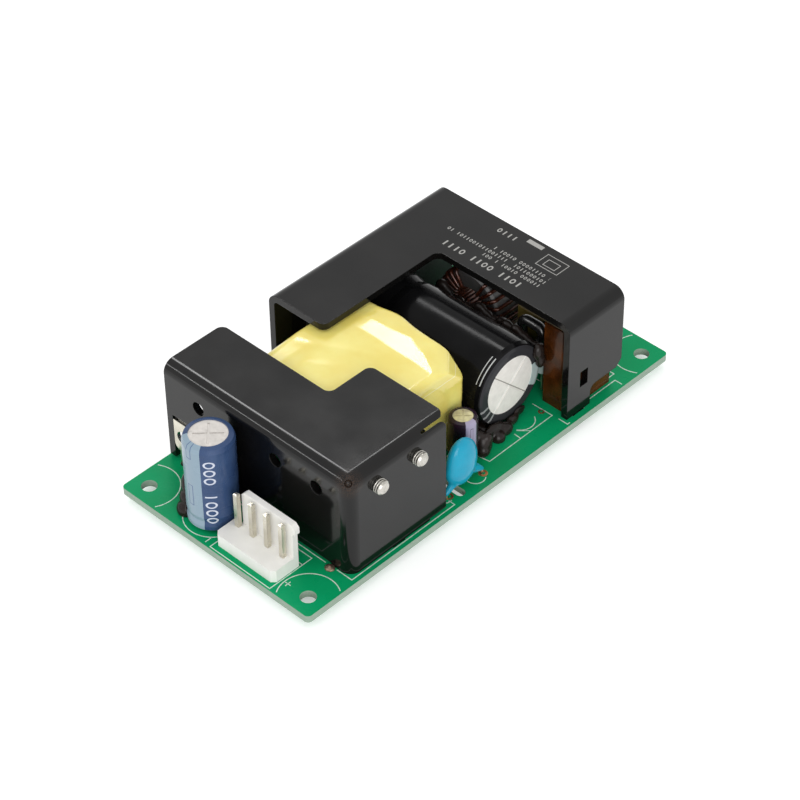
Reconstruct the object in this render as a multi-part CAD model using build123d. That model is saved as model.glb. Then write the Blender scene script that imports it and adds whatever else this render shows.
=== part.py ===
from build123d import *
import os
from math import cos, radians, sin, sqrt

# Open-frame power supply on a 2 by 4 inch board. All sizes are millimetres.
# The origin is the centre of the four mounting holes, on the underside of the board.
# +Y runs along the board from the output end to the input end, +Z is up.

# Board
board_width = 50.8
board_length = 101.6
board_thickness = 1.6
board_corner_radius = 1.0
mounting_hole_diameter = 3.2
mounting_hole_inset = 3.81
isolation_slot_length = 7.5
isolation_slot_width = 2.0
isolation_slot_setback = 43.2
isolation_slot_offset = 1.95
lead_stub = 1.8
drill_clearance = 0.1
solder_foot = 0.55
solder_height = 1.1

# Folded sheet covers
sheet_thickness = 1.5
bend_radius = 2.5
cover_left_inset = 0.3
cover_right_inset = 1.5
cover_headroom = 0.7
cover_corner_radius = 1.6
cover_lift = 0.5
foot_length = 3.2
foot_clearance = 0.15
tapped_hole_diameter = 3.0

# Front cover, with distances from the output end of the board
front_cover_setback = 12.6
front_strip_depth = 15.3
front_tab_width = 20.1
front_tab_reach = 26.1
front_wall_trim = 0.6
front_wall_hole_height = 17.4
front_wall_hole_spacings = (9.3, 29.9, 40.6)
front_slit_length = 6.6
front_slit_width = 0.6
corner_notch_radius = 0.8
corner_notch_inset = 1.0
tab_window_inset = 1.6
tab_window_width = 4.7
tab_window_height = 11.3
solder_tab_height = 10.3
solder_tab_shoulder = 3.0
solder_tab_thickness = 0.8
solder_tab_leg_width = 1.8
solder_tab_hole_diameter = 3.0
solder_tab_fit = 0.05

# Rear cover
rear_arm_setback = 40.8
rear_cover_step = 0.7
rear_arm_width = 15.1
rear_strip_overlap = 1.0
rear_strip_depth = 16.0
rear_plate_gap = 4.6
rear_leg_width = 6.8
rear_leg_fillet = 1.6
rear_plate_chamfer = 1.5
rear_slot_width = 2.2
rear_slot_height = 3.8
rear_slot_base = 6.2

# Transformer
transformer_across = 24.2
transformer_setback = 40.4
tape_thickness = 0.6
tape_corner_radius = 2.4
tape_edge_radius = 2.0
tape_lift = 0.6
core_width = 26.5
core_depth = 19.0
core_half_height = 9.6
core_plate = 3.9
core_post_diameter = 12.0
core_window_diameter = 22.5
core_notch_width = 8.0
core_notch_floor = 5.0
core_notch_wall = 1.2
winding_margin = 0.85
core_lift = 1.3
bobbin_wall = 0.6
bobbin_play = 0.1
rail_depth = 4.0
rail_lift = 0.5
rail_height = 3.6
transformer_pins_per_side = 6
transformer_pin_pitch = 3.81
transformer_pin_size = 0.7

# Bulk capacitor, lying on its side
bulk_diameter = 18.2
bulk_length = 32.0
bulk_left_inset = 9.6
bulk_gap = 0.5
bulk_lift = 0.5
bulk_lead_pitch = 7.5
bulk_lead_diameter = 0.8
bulk_lead_reach = 2.4
bulk_end_diameter = 12.8
bulk_seal_height = 4.0

# Standing capacitors
sleeve_wall = 0.2
can_wall = 0.25
seal_inset = 0.15
output_capacitor_diameter = 10.1
output_capacitor_height = 20.5
output_capacitor_setback = 6.7
output_capacitor_pitch = 5.0
output_seal_height = 2.6
inner_capacitor_left_inset = 12.0
inner_capacitor_gap = 1.0
small_capacitor_diameter = 5.8
small_capacitor_height = 11.2
small_capacitor_gap = 0.7
small_capacitor_setback = 50.0
small_capacitor_pitch = 2.2
small_seal_height = 1.6
capacitor_lift = 0.4
capacitor_lead_diameter = 0.6
capacitor_header_gap = 0.6

# Disc capacitor
disc_diameter = 8.6
disc_height = 11.9
disc_thickness = 4.2
disc_offset = 4.9
disc_setback = 45.1
disc_lean = 0.7
disc_lead_pitch = 10.0
disc_lead_diameter = 0.6
disc_lift = 0.5
disc_skirt_rise = 3.4
disc_skirt_inset = 2.2

# Output and input headers
pin_pitch = 3.96
pin_size = 0.95
pin_top = 11.1
output_pins = 4
output_header_centre = 32.3
input_positions = 3
input_header_centre = 22.0
header_edge_gap = 1.7
header_base_depth = 5.3
header_base_height = 2.9
header_wall_thickness = 1.2
header_wall_height = 11.2
header_side_margin = 1.86
header_pin_setback = 4.35
header_chamfer = 0.8
header_ear = 0.6
header_ear_height = 1.4

# Power devices in moulded packages with a screw hole
package_width = 10.0
package_height = 9.2
package_thickness = 4.5
package_draft = 0.5
package_fit = 0.05
package_lip = 1.2
package_tab_chamfer = 0.8
package_lead_pitch = 2.54
package_lead_width = 0.9
package_lead_thickness = 0.5
package_lead_setback = 2.7
package_tab_thickness = 1.3
package_tab_height = 6.5
package_tab_hole_drop = 2.5
package_hole_diameter = 3.6
full_package_tab_thickness = 2.6
rectifier_screw_height = 18.4
rectifier_setback = 20.2
rectifier_spacing = 10.3
transistor_setback = 54.0

# Screws and washers
screw_diameter = 2.9
screw_length = 5.0
screw_head_diameter = 5.5
screw_head_height = 2.0
screw_recess_diameter = 2.4
screw_recess_depth = 1.1
washer_diameter = 6.0
washer_thickness = 0.6

# Bridge rectifier
bridge_width = 14.5
bridge_height = 11.0
bridge_thickness = 3.5
bridge_wall_gap = 1.2
bridge_setback = 79.0
bridge_lift = 2.5
bridge_lead_pitch = 3.81
bridge_lead_diameter = 0.9

# Optocoupler
opto_length = 4.6
opto_width = 6.4
opto_height = 3.4
opto_lift = 0.6
opto_row_pitch = 7.62
opto_lead_pitch = 2.54
opto_left_inset = 4.9
opto_setback = 43.2

# Common-mode choke
choke_outer_diameter = 15.0
choke_inner_diameter = 8.0
choke_thickness = 7.0
choke_wrap = 1.2
choke_arc = 130.0
choke_left_inset = 19.5
choke_gap = 2.2
choke_base_thickness = 1.2
choke_base_width = 18.0
choke_base_depth = 11.2
choke_base_rim = 1.0
choke_lead_diameter = 0.8

# Line capacitor
line_capacitor_width = 17.0
line_capacitor_depth = 8.0
line_capacitor_height = 14.5
line_capacitor_gap = 0.9
line_capacitor_pitch = 15.0
line_capacitor_lift = 0.4
line_capacitor_lead_diameter = 0.8
line_capacitor_rear_margin = 1.6

# Fuse with a sleeved return lead
fuse_diameter = 2.6
fuse_base = 4.6
fuse_top = 12.4
fuse_sleeve_wall = 0.35
fuse_side_inset = 2.2
fuse_rear_gap = 2.7
fuse_return_run = 5.4
fuse_return_rise = 5.6
fuse_lead_diameter = 0.6
fuse_bend_radius = 1.6
fuse_sleeve_overlap = 3.4
fuse_tube_base = 3.0
fuse_tube_diameter = 2.2

# Insulation sheet
insulation_thickness = 0.35
insulation_height = 20.0
insulation_return = 5.6
insulation_depth = 13.0
insulation_inset = 1.3
insulation_gap = 0.2
insulation_corner_radius = 1.2

# Adhesive
glue_diameter = 5.0
glue_gap = 0.05
glue_run_length = 12.0
glue_run_setback = 2.6
glue_run_rise = 2.4
glue_run_chamfer = 1.2
glue_bead_diameter = 4.2
glue_bead_length = 27.5
glue_bead_rise = 3.9
glue_bead_overlap = 0.6
glue_drop_diameter = 2.8

# Chips on the underside
chip_length = 4.9
chip_width = 3.9
chip_height = 1.3
chip_lift = 0.1
chip_lead_pitch = 1.27
chip_lead_span = 6.0
chip_lead_width = 0.4
chip_left_inset = 20.0
chip_setback = 62.0
resistor_length = 2.0
resistor_width = 1.25
resistor_height = 0.5
chip_column_pitch = 8.0
chip_row_pitch = 3.0

# Worked-out planes and places, heights from the underside of the board
board_top = board_thickness
cover_right = board_width / 2 - cover_right_inset
cover_left = -board_width / 2 + cover_left_inset
rear_cover_left = cover_left - rear_cover_step
right_wall_inner = cover_right - sheet_thickness
left_wall_inner = rear_cover_left + sheet_thickness
transformer_top = board_top + core_lift + 2 * core_half_height + bobbin_play + tape_thickness
cover_top = transformer_top + cover_headroom + sheet_thickness
output_edge = -board_length / 2
input_edge = board_length / 2
front_wall = output_edge + front_cover_setback
transformer_width = core_width + 2 * (tape_thickness + winding_margin)
transformer_length = core_depth + 2 * (rail_depth + 3 * bobbin_play + tape_thickness)
transformer_x = -board_width / 2 + transformer_across
transformer_y = output_edge + transformer_setback
transformer_rear = transformer_y + transformer_length / 2
transformer_right = transformer_x + transformer_width / 2
bulk_y = transformer_rear + bulk_gap + bulk_diameter / 2
bulk_z = board_top + bulk_lift + bulk_diameter / 2
bulk_left = -board_width / 2 + bulk_left_inset
bulk_right = bulk_left + bulk_length
bulk_rear = bulk_y + bulk_diameter / 2
rear_strip_front = bulk_rear - rear_strip_overlap
rear_edge = rear_strip_front + rear_strip_depth

# Every lead that passes through the board, as (x, y, half width over its corners)
drilled = []
# Every cover foot that passes through the board, as (x, y, length along x, length along y)
slotted = []


def across(distance):
    """Place measured from the left long edge of the board."""
    return distance - board_width / 2


def along(distance):
    """Place measured from the output end of the board."""
    return distance - board_length / 2


def block(x0, x1, y0, y1, z0, z1):
    """Box that fills the given ranges."""
    size = (x1 - x0, y1 - y0, z1 - z0)
    return Pos((x0 + x1) / 2, (y0 + y1) / 2, (z0 + z1) / 2) * Box(*size)


def post(x, y, z0, z1, diameter):
    """Upright cylinder between two heights."""
    return Pos(x, y, (z0 + z1) / 2) * Cylinder(diameter / 2, z1 - z0)


def bar_x(y, z, x0, x1, diameter):
    """Cylinder that lies along X."""
    return Pos((x0 + x1) / 2, y, z) * Rot(0, 90, 0) * Cylinder(diameter / 2, x1 - x0)


def bar_y(x, z, y0, y1, diameter):
    """Cylinder that lies along Y."""
    return Pos(x, (y0 + y1) / 2, z) * Rot(90, 0, 0) * Cylinder(diameter / 2, y1 - y0)


def round_lead(x, y, top, diameter):
    """Round lead down through the board, noted for drilling."""
    drilled.append((x, y, diameter / 2))
    return post(x, y, -lead_stub, top, diameter)


def flat_lead(x, y, top, size_x, size_y):
    """Flat or square lead down through the board, noted for drilling."""
    drilled.append((x, y, sqrt(size_x**2 + size_y**2) / 2))
    return block(x - size_x / 2, x + size_x / 2, y - size_y / 2, y + size_y / 2, -lead_stub, top)


def wire(points, diameter, bend):
    """Round wire along straight runs joined by arcs."""
    path = FilletPolyline(*points, radius=bend)
    section = Plane(origin=path @ 0, z_dir=path % 0) * Circle(diameter / 2)
    return sweep(section, path=path)


def cover_foot(x0, x1, y0, y1):
    """Foot of a cover that passes through a slot in the board."""
    slotted.append(((x0 + x1) / 2, (y0 + y1) / 2, x1 - x0, y1 - y0))
    return block(x0, x1, y0, y1, -lead_stub, board_top + cover_lift)


def rounded_prism(x0, x1, y0, y1, z0, z1, radius):
    """Box with its four upright edges rounded."""
    outline = Pos((x0 + x1) / 2, (y0 + y1) / 2) * RectangleRounded(x1 - x0, y1 - y0, radius)
    return Pos(0, 0, z0) * extrude(outline, amount=z1 - z0)


def front_top_outline():
    """L-shaped plan of the front cover, with rounded corners at the rear."""
    strip_rear = front_wall + front_strip_depth
    tab_rear = front_wall + front_tab_reach
    tab_left = cover_right - front_tab_width
    corners = [
        (cover_left, front_wall - 1),
        (cover_right + 1, front_wall - 1),
        (cover_right + 1, tab_rear),
        (tab_left, tab_rear),
        (tab_left, strip_rear),
        (cover_left, strip_rear),
    ]
    outline = make_face(Polyline(*corners, close=True))
    rear = outline.vertices().sort_by(Axis.Y)[2:]
    inner = [v for v in rear if v.X < cover_right]
    return fillet(inner, cover_corner_radius)


def front_cover_body():
    """Top, front wall and right wall as one folded sheet before its cut-outs."""
    tab_rear = front_wall + front_tab_reach
    spare = bend_radius * 2
    outer = block(cover_left, cover_right, front_wall, tab_rear, board_top - spare, cover_top)
    inner = block(
        cover_left - spare,
        right_wall_inner,
        front_wall + sheet_thickness,
        tab_rear + spare,
        board_top - 2 * spare,
        cover_top - sheet_thickness,
    )
    outer = fillet(bend_edges(outer, cover_right, front_wall, cover_top), bend_radius)
    inner_planes = (right_wall_inner, front_wall + sheet_thickness, cover_top - sheet_thickness)
    inner = fillet(bend_edges(inner, *inner_planes), bend_radius - sheet_thickness)
    return outer - inner


def bend_edges(solid, right, front, top):
    """The three edges of a block that meet at its top, front and right corner."""
    chosen = []
    for edge in solid.edges():
        middle = edge.center()
        hits = [abs(middle.X - right) < 0.01, abs(middle.Y - front) < 0.01, abs(middle.Z - top) < 0.01]
        if sum(hits) == 2:
            chosen.append(edge)
    return chosen


def slit_bend(body, tab_rear):
    """Narrow slit through the right bend, that frees the top's tab from the shorter wall."""
    centre_x = cover_right - bend_radius
    centre_z = cover_top - bend_radius
    wall_rear = tab_rear - front_wall_trim
    reach = tab_rear + 1
    half = front_slit_width / 2
    turn = Pos(centre_x, 0, centre_z) * Rot(0, -45, 0)
    deep = 2 * bend_radius
    body -= turn * block(0, deep, tab_rear - front_slit_length, reach, -half, half)

    # The wall ends short of the tab.
    body -= turn * block(0, deep, wall_rear, reach, -deep, half)
    body -= block(centre_x, cover_right + 1, wall_rear, reach, board_top - deep, centre_z)
    ends = [e for e in body.edges().filter_by(GeomType.LINE) if abs(e.center().Y - wall_rear) < 0.01]
    ends = [e for e in ends if e.center().Z > centre_z and e.length < bend_radius]
    body = fillet(ends, cover_corner_radius)

    # The tab's free corner is rounded.
    corner_x = centre_x + bend_radius * cos(radians(45)) - half
    corner_y = tab_rear - cover_corner_radius
    middle_x = corner_x - cover_corner_radius
    cut = block(middle_x, corner_x + half, corner_y, reach, centre_z, cover_top + 1)
    cut -= post(middle_x, corner_y, centre_z - 1, cover_top + 2, 2 * cover_corner_radius)
    return body - cut


def front_cover():
    """Output heatsink: L-shaped top, tapped front wall and right wall with a slit behind."""
    tab_rear = front_wall + front_tab_reach
    body = front_cover_body()
    plan = extrude(Pos(0, 0, board_top) * front_top_outline(), amount=cover_top)
    body = body & plan

    body = slit_bend(body, tab_rear)

    # A relief notch is left where the three bends meet.
    inset = corner_notch_inset
    body -= Pos(cover_right - inset, front_wall + inset, cover_top - inset) * Sphere(corner_notch_radius)

    for spacing in front_wall_hole_spacings:
        body -= bar_y(cover_left + spacing, board_top + front_wall_hole_height,
                      front_wall - 1, front_wall + sheet_thickness + 1, tapped_hole_diameter)
    for y in rectifier_places():
        body -= bar_x(y, board_top + rectifier_screw_height,
                      right_wall_inner - 1, cover_right + 1, tapped_hole_diameter)

    window_left = cover_left + tab_window_inset
    body -= block(window_left, window_left + tab_window_width, front_wall - 1,
                  front_wall + sheet_thickness + 1, board_top - 1, board_top + tab_window_height)

    # The walls clear the board, and stand on it only at the feet.
    body -= block(cover_left - 1, cover_right - bend_radius * 2, front_wall - 1,
                  front_wall + sheet_thickness + bend_radius, board_top - 1, board_top + cover_lift)
    body -= block(cover_right - bend_radius * 2, cover_right + 1, tab_rear - bend_radius * 2,
                  tab_rear + 1, board_top - 1, board_top + cover_lift)
    body += cover_foot(right_wall_inner, cover_right, rectifier_middle() - foot_length / 2,
                       rectifier_middle() + foot_length / 2)
    return body


def rectifier_places():
    """Places of the two output rectifiers along the right wall."""
    first = along(rectifier_setback)
    return [first, first + rectifier_spacing]


def rectifier_middle():
    """Place halfway between the output rectifiers."""
    return sum(rectifier_places()) / 2


def solder_tab():
    """Tinned tab seated in the front wall's window, with a leg through the board."""
    left = cover_left + tab_window_inset + solder_tab_fit
    right = left + tab_window_width - 2 * solder_tab_fit
    middle = (left + right) / 2
    rear = front_wall + solder_tab_thickness
    shoulder = board_top + solder_tab_shoulder
    plate = block(left, right, front_wall, rear, shoulder, board_top + solder_tab_height)
    lower = plate.edges().filter_by(Axis.Y).group_by(Axis.Z)[0]
    plate = fillet(lower, cover_corner_radius)
    plate -= bar_y(middle, board_top + (solder_tab_shoulder + solder_tab_height) / 2,
                   front_wall - 1, rear + 1, solder_tab_hole_diameter)
    leg = flat_lead(middle, front_wall + solder_tab_thickness / 2,
                    board_top + solder_tab_shoulder + 0.5, solder_tab_leg_width, solder_tab_thickness)
    return plate + leg


def rear_cover():
    """Input heatsink: L-shaped top, full left wall and a right plate on one leg."""
    arm_front = along(rear_arm_setback)
    spare = bend_radius * 2
    outer = block(rear_cover_left, cover_right, arm_front, rear_edge, board_top - spare, cover_top)
    outer = fillet(outer.edges().filter_by(Axis.Y).group_by(Axis.Z)[-1], bend_radius)
    inner = block(left_wall_inner, right_wall_inner, arm_front - 1, rear_edge + 1,
                  board_top - 2 * spare, cover_top - sheet_thickness)
    inner = fillet(inner.edges().filter_by(Axis.Y).group_by(Axis.Z)[-1], bend_radius - sheet_thickness)
    body = outer - inner
    body &= rear_plan()
    body = body - right_plate_trim()
    body -= block(rear_cover_left - 1, left_wall_inner + bend_radius, arm_front - 1, rear_edge + 1,
                  board_top - spare - 1, board_top + cover_lift)
    body -= bar_x(along(transistor_setback), board_top + rectifier_screw_height,
                  rear_cover_left - 1, left_wall_inner + 1, tapped_hole_diameter)
    for y in (arm_front + foot_length, rear_edge - 2 * foot_length):
        body += cover_foot(rear_cover_left, left_wall_inner, y, y + foot_length)
    leg_middle = rear_strip_front + rear_leg_width / 2
    near = leg_middle - foot_length / 2
    body += cover_foot(right_wall_inner, cover_right, near, near + foot_length)
    return body


def rear_plan():
    """L-shaped plan of the rear cover, with rounded corners at the free ends."""
    arm_front = along(rear_arm_setback)
    arm_right = rear_cover_left + rear_arm_width
    corners = [
        (rear_cover_left - 1, arm_front),
        (arm_right, arm_front),
        (arm_right, rear_strip_front),
        (cover_right + 1, rear_strip_front),
        (cover_right + 1, rear_edge),
        (rear_cover_left - 1, rear_edge),
    ]
    outline = make_face(Polyline(*corners, close=True))
    inner = [v for v in outline.vertices() if abs(v.X - arm_right) < 0.01]
    outline = fillet(inner, cover_corner_radius)
    return Pos(0, 0, board_top - bend_radius * 2) * extrude(outline, amount=cover_top + bend_radius * 2)


def right_plate_trim():
    """What is cut from below the right plate: all but the leg, and the slot in the leg."""
    leg_rear = rear_strip_front + rear_leg_width
    low = board_top - bend_radius * 3
    plate_base = board_top + rear_plate_gap
    # The outline is drawn with Y across and Z up.
    corners = [
        (leg_rear, low),
        (leg_rear, plate_base),
        (rear_edge - rear_plate_chamfer, plate_base),
        (rear_edge, plate_base + rear_plate_chamfer),
        (rear_edge + 1, plate_base + rear_plate_chamfer),
        (rear_edge + 1, low),
    ]
    outline = make_face(Polyline(*corners, close=True))
    leg_corner = [v for v in outline.vertices() if abs(v.X - leg_rear) < 0.01 and v.Y > board_top]
    outline = fillet(leg_corner, rear_leg_fillet)
    cut = extrude(Plane.YZ * outline, amount=board_width, both=False)
    below = block(0, board_width, rear_strip_front - 1, rear_edge + 1, low - 1, board_top)
    slot_rear = leg_rear - rear_slot_width / 2 + 0.1
    slot = block(right_wall_inner - 1, cover_right + 1, slot_rear - rear_slot_width, slot_rear,
                 board_top + rear_slot_base, board_top + rear_slot_base + rear_slot_height)
    return cut + below + slot


def package_top():
    """Top of a moulded body below its screw hole, which is at z = 0."""
    return -(package_tab_height - package_tab_hole_drop)


def package_body():
    """Moulded body facing +X: back at x = 0, screw hole at z = 0."""
    top = package_top()
    outer = block(0, package_thickness, -package_width / 2, package_width / 2, top - package_height, top)
    front = outer.edges().filter_by(GeomType.LINE).group_by(Axis.X)[-1]
    return chamfer(front, package_draft)


def place_on_right_wall(solid, y):
    """Turns a package to back onto the right wall."""
    return Pos(right_wall_inner, y, board_top + rectifier_screw_height) * Rot(0, 0, 180) * solid


def place_on_left_wall(solid, y):
    """Sets a package to back onto the left wall."""
    return Pos(left_wall_inner, y, board_top + rectifier_screw_height) * solid


def rectifier_body():
    """Moulded block in front of the metal tab."""
    low = package_top() - package_height
    tab = package_tab_thickness
    pocket = block(-1, tab + package_fit, -package_width, package_width, low - 1, package_top() + 1)
    kept = block(-1, tab + 2 * package_fit, -package_width, package_width, low - 1, low + package_lip)
    return package_body() - (pocket - kept)


def rectifier_leadframe(y):
    """Metal tab with its hole, and three leads that pass through the board."""
    half = package_width / 2
    low = package_top() - package_height + package_lip + package_fit
    plate = block(0, package_tab_thickness, -half, half, low, package_tab_hole_drop)
    upper = plate.edges().filter_by(Axis.X).group_by(Axis.Z)[-1]
    plate = chamfer(upper, package_tab_chamfer)
    plate -= bar_x(0, 0, -1, package_tab_thickness + 1, package_hole_diameter)
    return place_on_right_wall(plate, y)


def package_leads(x, y, top):
    """Three flat leads below a moulded body."""
    leads = []
    for step in (-1, 0, 1):
        lead_y = y + step * package_lead_pitch
        leads.append(flat_lead(x, lead_y, top, package_lead_thickness, package_lead_width))
    return leads


def package_lead_top():
    """Height where the leads leave a moulded body."""
    drop = package_tab_height - package_tab_hole_drop + package_height
    return board_top + rectifier_screw_height - drop


def transistor_body():
    """Fully moulded package with a thick tab, backed onto the left wall."""
    half = package_width / 2
    tab = block(0, full_package_tab_thickness, -half, half, package_top() - 0.01, package_tab_hole_drop)
    tab = chamfer(tab.edges().filter_by(Axis.X).group_by(Axis.Z)[-1], package_tab_chamfer)
    tab -= bar_x(0, 0, -1, full_package_tab_thickness + 1, package_hole_diameter)
    return place_on_left_wall(package_body() + tab, along(transistor_setback))


def pan_screw(seat, direction, y, z):
    """Pan-head screw whose head rests at x = seat and whose shaft points along direction."""
    shaft = bar_x(0, 0, 0, screw_length, screw_diameter)
    shaft = chamfer(shaft.edges().group_by(Axis.X)[-1], 0.3)
    head = bar_x(0, 0, -screw_head_height, 0, screw_head_diameter)
    head = fillet(head.edges().group_by(Axis.X)[0], screw_head_height * 0.4)
    floor = screw_recess_depth - screw_head_height
    recess = bar_x(0, 0, -screw_head_height - 1, floor, screw_recess_diameter)
    screw = shaft + head - recess
    if direction < 0:
        screw = Rot(0, 0, 180) * screw
    return Pos(seat, y, z) * screw


def washer(x0, x1, y, z):
    """Flat washer between two planes across X."""
    ring = bar_x(y, z, x0, x1, washer_diameter)
    return ring - bar_x(y, z, x0 - 1, x1 + 1, screw_diameter + 0.2)


def output_screws():
    """The two screws that hold the output rectifiers to the right wall."""
    seat = right_wall_inner - package_tab_thickness - washer_thickness
    z = board_top + rectifier_screw_height
    return [pan_screw(seat, 1, y, z) for y in rectifier_places()]


def output_washers():
    """Washers under the heads of the output screws."""
    x1 = right_wall_inner - package_tab_thickness
    z = board_top + rectifier_screw_height
    return [washer(x1 - washer_thickness, x1, y, z) for y in rectifier_places()]


def transistor_screw():
    """Screw that holds the primary transistor to the left wall."""
    seat = left_wall_inner + full_package_tab_thickness + washer_thickness
    return pan_screw(seat, -1, along(transistor_setback), board_top + rectifier_screw_height)


def transistor_washer():
    """Washer under the head of the transistor's screw."""
    x0 = left_wall_inner + full_package_tab_thickness
    return washer(x0, x0 + washer_thickness, along(transistor_setback), board_top + rectifier_screw_height)


def core_half():
    """Half of the ferrite core, plate down, centred on the origin."""
    plate = Rectangle(core_width, core_depth)
    mouth = core_notch_width / 2
    floor = core_notch_floor / 2
    near = -core_depth / 2
    far = -core_post_diameter / 2 - core_notch_wall
    cut = make_face(Polyline((-mouth, near), (mouth, near), (floor, far), (-floor, far), close=True))
    plate = plate - cut - mirror(cut, Plane.XZ)
    legs = Rectangle(core_width, core_depth) - Circle(core_window_diameter / 2)
    solid = extrude(plate, amount=core_plate)
    solid += extrude(legs + Circle(core_post_diameter / 2), amount=core_half_height)
    return solid


def transformer_core_bottom():
    """Lower core half, legs up."""
    return Pos(transformer_x, transformer_y, board_top + core_lift) * core_half()


def transformer_core_top():
    """Upper core half, legs down, resting on the lower one."""
    top = board_top + core_lift + 2 * core_half_height
    return Pos(transformer_x, transformer_y, top) * Rot(180, 0, 0) * core_half()


def bobbin_window():
    """Lower and upper height of the space between the core's plates."""
    low = board_top + core_lift + core_plate + bobbin_play
    high = board_top + core_lift + 2 * core_half_height - core_plate - bobbin_play
    return low, high


def bobbin_tube_radii():
    """Inner and outer radius of the bobbin's tube."""
    inner = core_post_diameter / 2 + bobbin_play
    return inner, inner + bobbin_wall


def rail_reach():
    """Distance from the transformer's centre to the outer face of a pin rail."""
    return transformer_length / 2 - tape_thickness - 2 * bobbin_play


def transformer_bobbin():
    """Tube with two flanges, and a rail for the pins at each end."""
    low, high = bobbin_window()
    inner, outer = bobbin_tube_radii()
    flange = core_window_diameter / 2 - bobbin_play
    body = post(0, 0, low, high, 2 * outer)
    body += post(0, 0, low, low + bobbin_wall, 2 * flange)
    body += post(0, 0, high - bobbin_wall, high, 2 * flange)
    body -= post(0, 0, low - 1, high + 1, 2 * inner)
    half = transformer_width / 2 - tape_thickness - 2 * bobbin_play
    neck = core_width / 2 - 3.0
    for side in (-1, 1):
        near = side * (rail_reach() - rail_depth)
        far = side * rail_reach()
        foot = board_top + rail_lift
        rail = block(-half, half, min(near, far), max(near, far), foot, foot + rail_height)
        ends = [e for e in rail.edges().filter_by(Axis.Z) if abs(e.center().Y - far) < 0.01]
        rail = fillet(ends, tape_corner_radius - tape_thickness)
        web = block(-neck / 2, neck / 2, min(near, far) - 1.5, max(near, far) + 1.5, low, low + bobbin_wall)
        web = web & block(-neck, neck, -rail_reach(), rail_reach(), low, low + bobbin_wall)
        web -= post(0, 0, low - 1, high, 2 * outer)
        riser_low = foot + rail_height - 0.01
        riser = block(-neck / 2, neck / 2, min(near, far), max(near, far), riser_low, low + bobbin_wall)
        body += rail + web + riser
        foot_y = side * (rail_reach() - rail_depth / 2)
        for x in (-half + 2.5, half - 2.5):
            body += block(x - 0.8, x + 0.8, foot_y - 1.2, foot_y + 1.2, board_top, foot + 0.1)
    return Pos(transformer_x, transformer_y, 0) * body


def transformer_pins():
    """Two rows of square pins from the rails down through the board."""
    pins = []
    span = (transformer_pins_per_side - 1) * transformer_pin_pitch
    top = board_top + rail_lift
    for side in (-1, 1):
        y = transformer_y + side * (rail_reach() - rail_depth / 2)
        for step in range(transformer_pins_per_side):
            x = transformer_x - span / 2 + step * transformer_pin_pitch
            pins.append(flat_lead(x, y, top, transformer_pin_size, transformer_pin_size))
    return pins


def transformer_winding():
    """Wound wire between the flanges, as one ring."""
    low, high = bobbin_window()
    _, tube = bobbin_tube_radii()
    outer = core_window_diameter / 2 - 4 * bobbin_play
    low += bobbin_wall
    high -= bobbin_wall
    ring = post(0, 0, low, high, 2 * outer) - post(0, 0, low - 1, high + 1, 2 * tube)
    return Pos(transformer_x, transformer_y, 0) * ring


def transformer_tape():
    """Cap of wrapped tape over the core and bobbin, open below."""
    half_x = transformer_width / 2
    half_y = transformer_length / 2
    low = board_top + tape_lift
    outer = rounded_prism(-half_x, half_x, -half_y, half_y, low, transformer_top, tape_corner_radius)
    outer = fillet(outer.edges().group_by(Axis.Z)[-1], tape_edge_radius)
    wall = tape_thickness
    inner = rounded_prism(-half_x + wall, half_x - wall, -half_y + wall, half_y - wall,
                          low - 1, transformer_top - wall, tape_corner_radius - wall)
    inner = fillet(inner.edges().group_by(Axis.Z)[-1], tape_edge_radius - wall)
    return Pos(transformer_x, transformer_y, 0) * (outer - inner)


def can_profile(radius, length, groove_depth):
    """Half section of a can with a rolled groove near the lead end, axis along Z."""
    round_off = min(1.0, radius / 4)
    groove = length * 0.11
    width = radius * 0.22
    return [
        (0, 0),
        (radius - 0.4, 0),
        (radius, 0.4),
        (radius, groove - width),
        (radius - groove_depth, groove),
        (radius, groove + width),
        (radius, length - round_off),
        (radius - round_off * 0.3, length - round_off * 0.3),
        (radius - round_off, length),
        (0, length),
    ]


def capacitor_can(radius, length, groove_depth, seal_height):
    """Aluminium can with vent lines pressed in its closed end, open for the seal below."""
    section = make_face(Plane.XZ * Polyline(*can_profile(radius, length, groove_depth), close=True))
    can = revolve(section, axis=Axis.Z)
    can -= post(0, 0, -1, seal_height, 2 * (radius - groove_depth - can_wall))
    line = radius * 0.035 + 0.05
    for turn in (0, 90):
        reach = radius * 0.6
        score = Rot(0, 0, turn + 45) * block(-reach, reach, -line, line, length - 0.12, length + 1)
        can -= score
    return can


def capacitor_sleeve(radius, length, groove_depth, end_radius):
    """Shrunk sleeve that follows the can and turns in over its closed end."""
    wall = sleeve_wall
    inner = can_profile(radius, length, groove_depth)[1:-1]
    outer = [(r + wall, z) for r, z in inner]
    outer[0] = (inner[0][0], -wall)
    outer[1] = (inner[1][0] + wall, inner[1][1])
    lip_top = length + wall
    outer[-2] = (inner[-2][0] + wall, inner[-2][1] + wall * 0.7)
    outer[-1] = (inner[-1][0], lip_top)
    points = inner + [(end_radius, length), (end_radius, lip_top)] + outer[::-1]
    section = make_face(Plane.XZ * Polyline(*points, close=True))
    return revolve(section, axis=Axis.Z)


def capacitor_seal(radius, groove_depth, seal_height, pitch, lead_diameter):
    """Rubber plug in the lead end, with a hole for each lead."""
    plug = post(0, 0, seal_inset, seal_height, 2 * (radius - groove_depth - can_wall))
    for side in (-1, 1):
        plug -= post(0, side * pitch / 2, -1, seal_height + 1, lead_diameter)
    return plug


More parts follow.
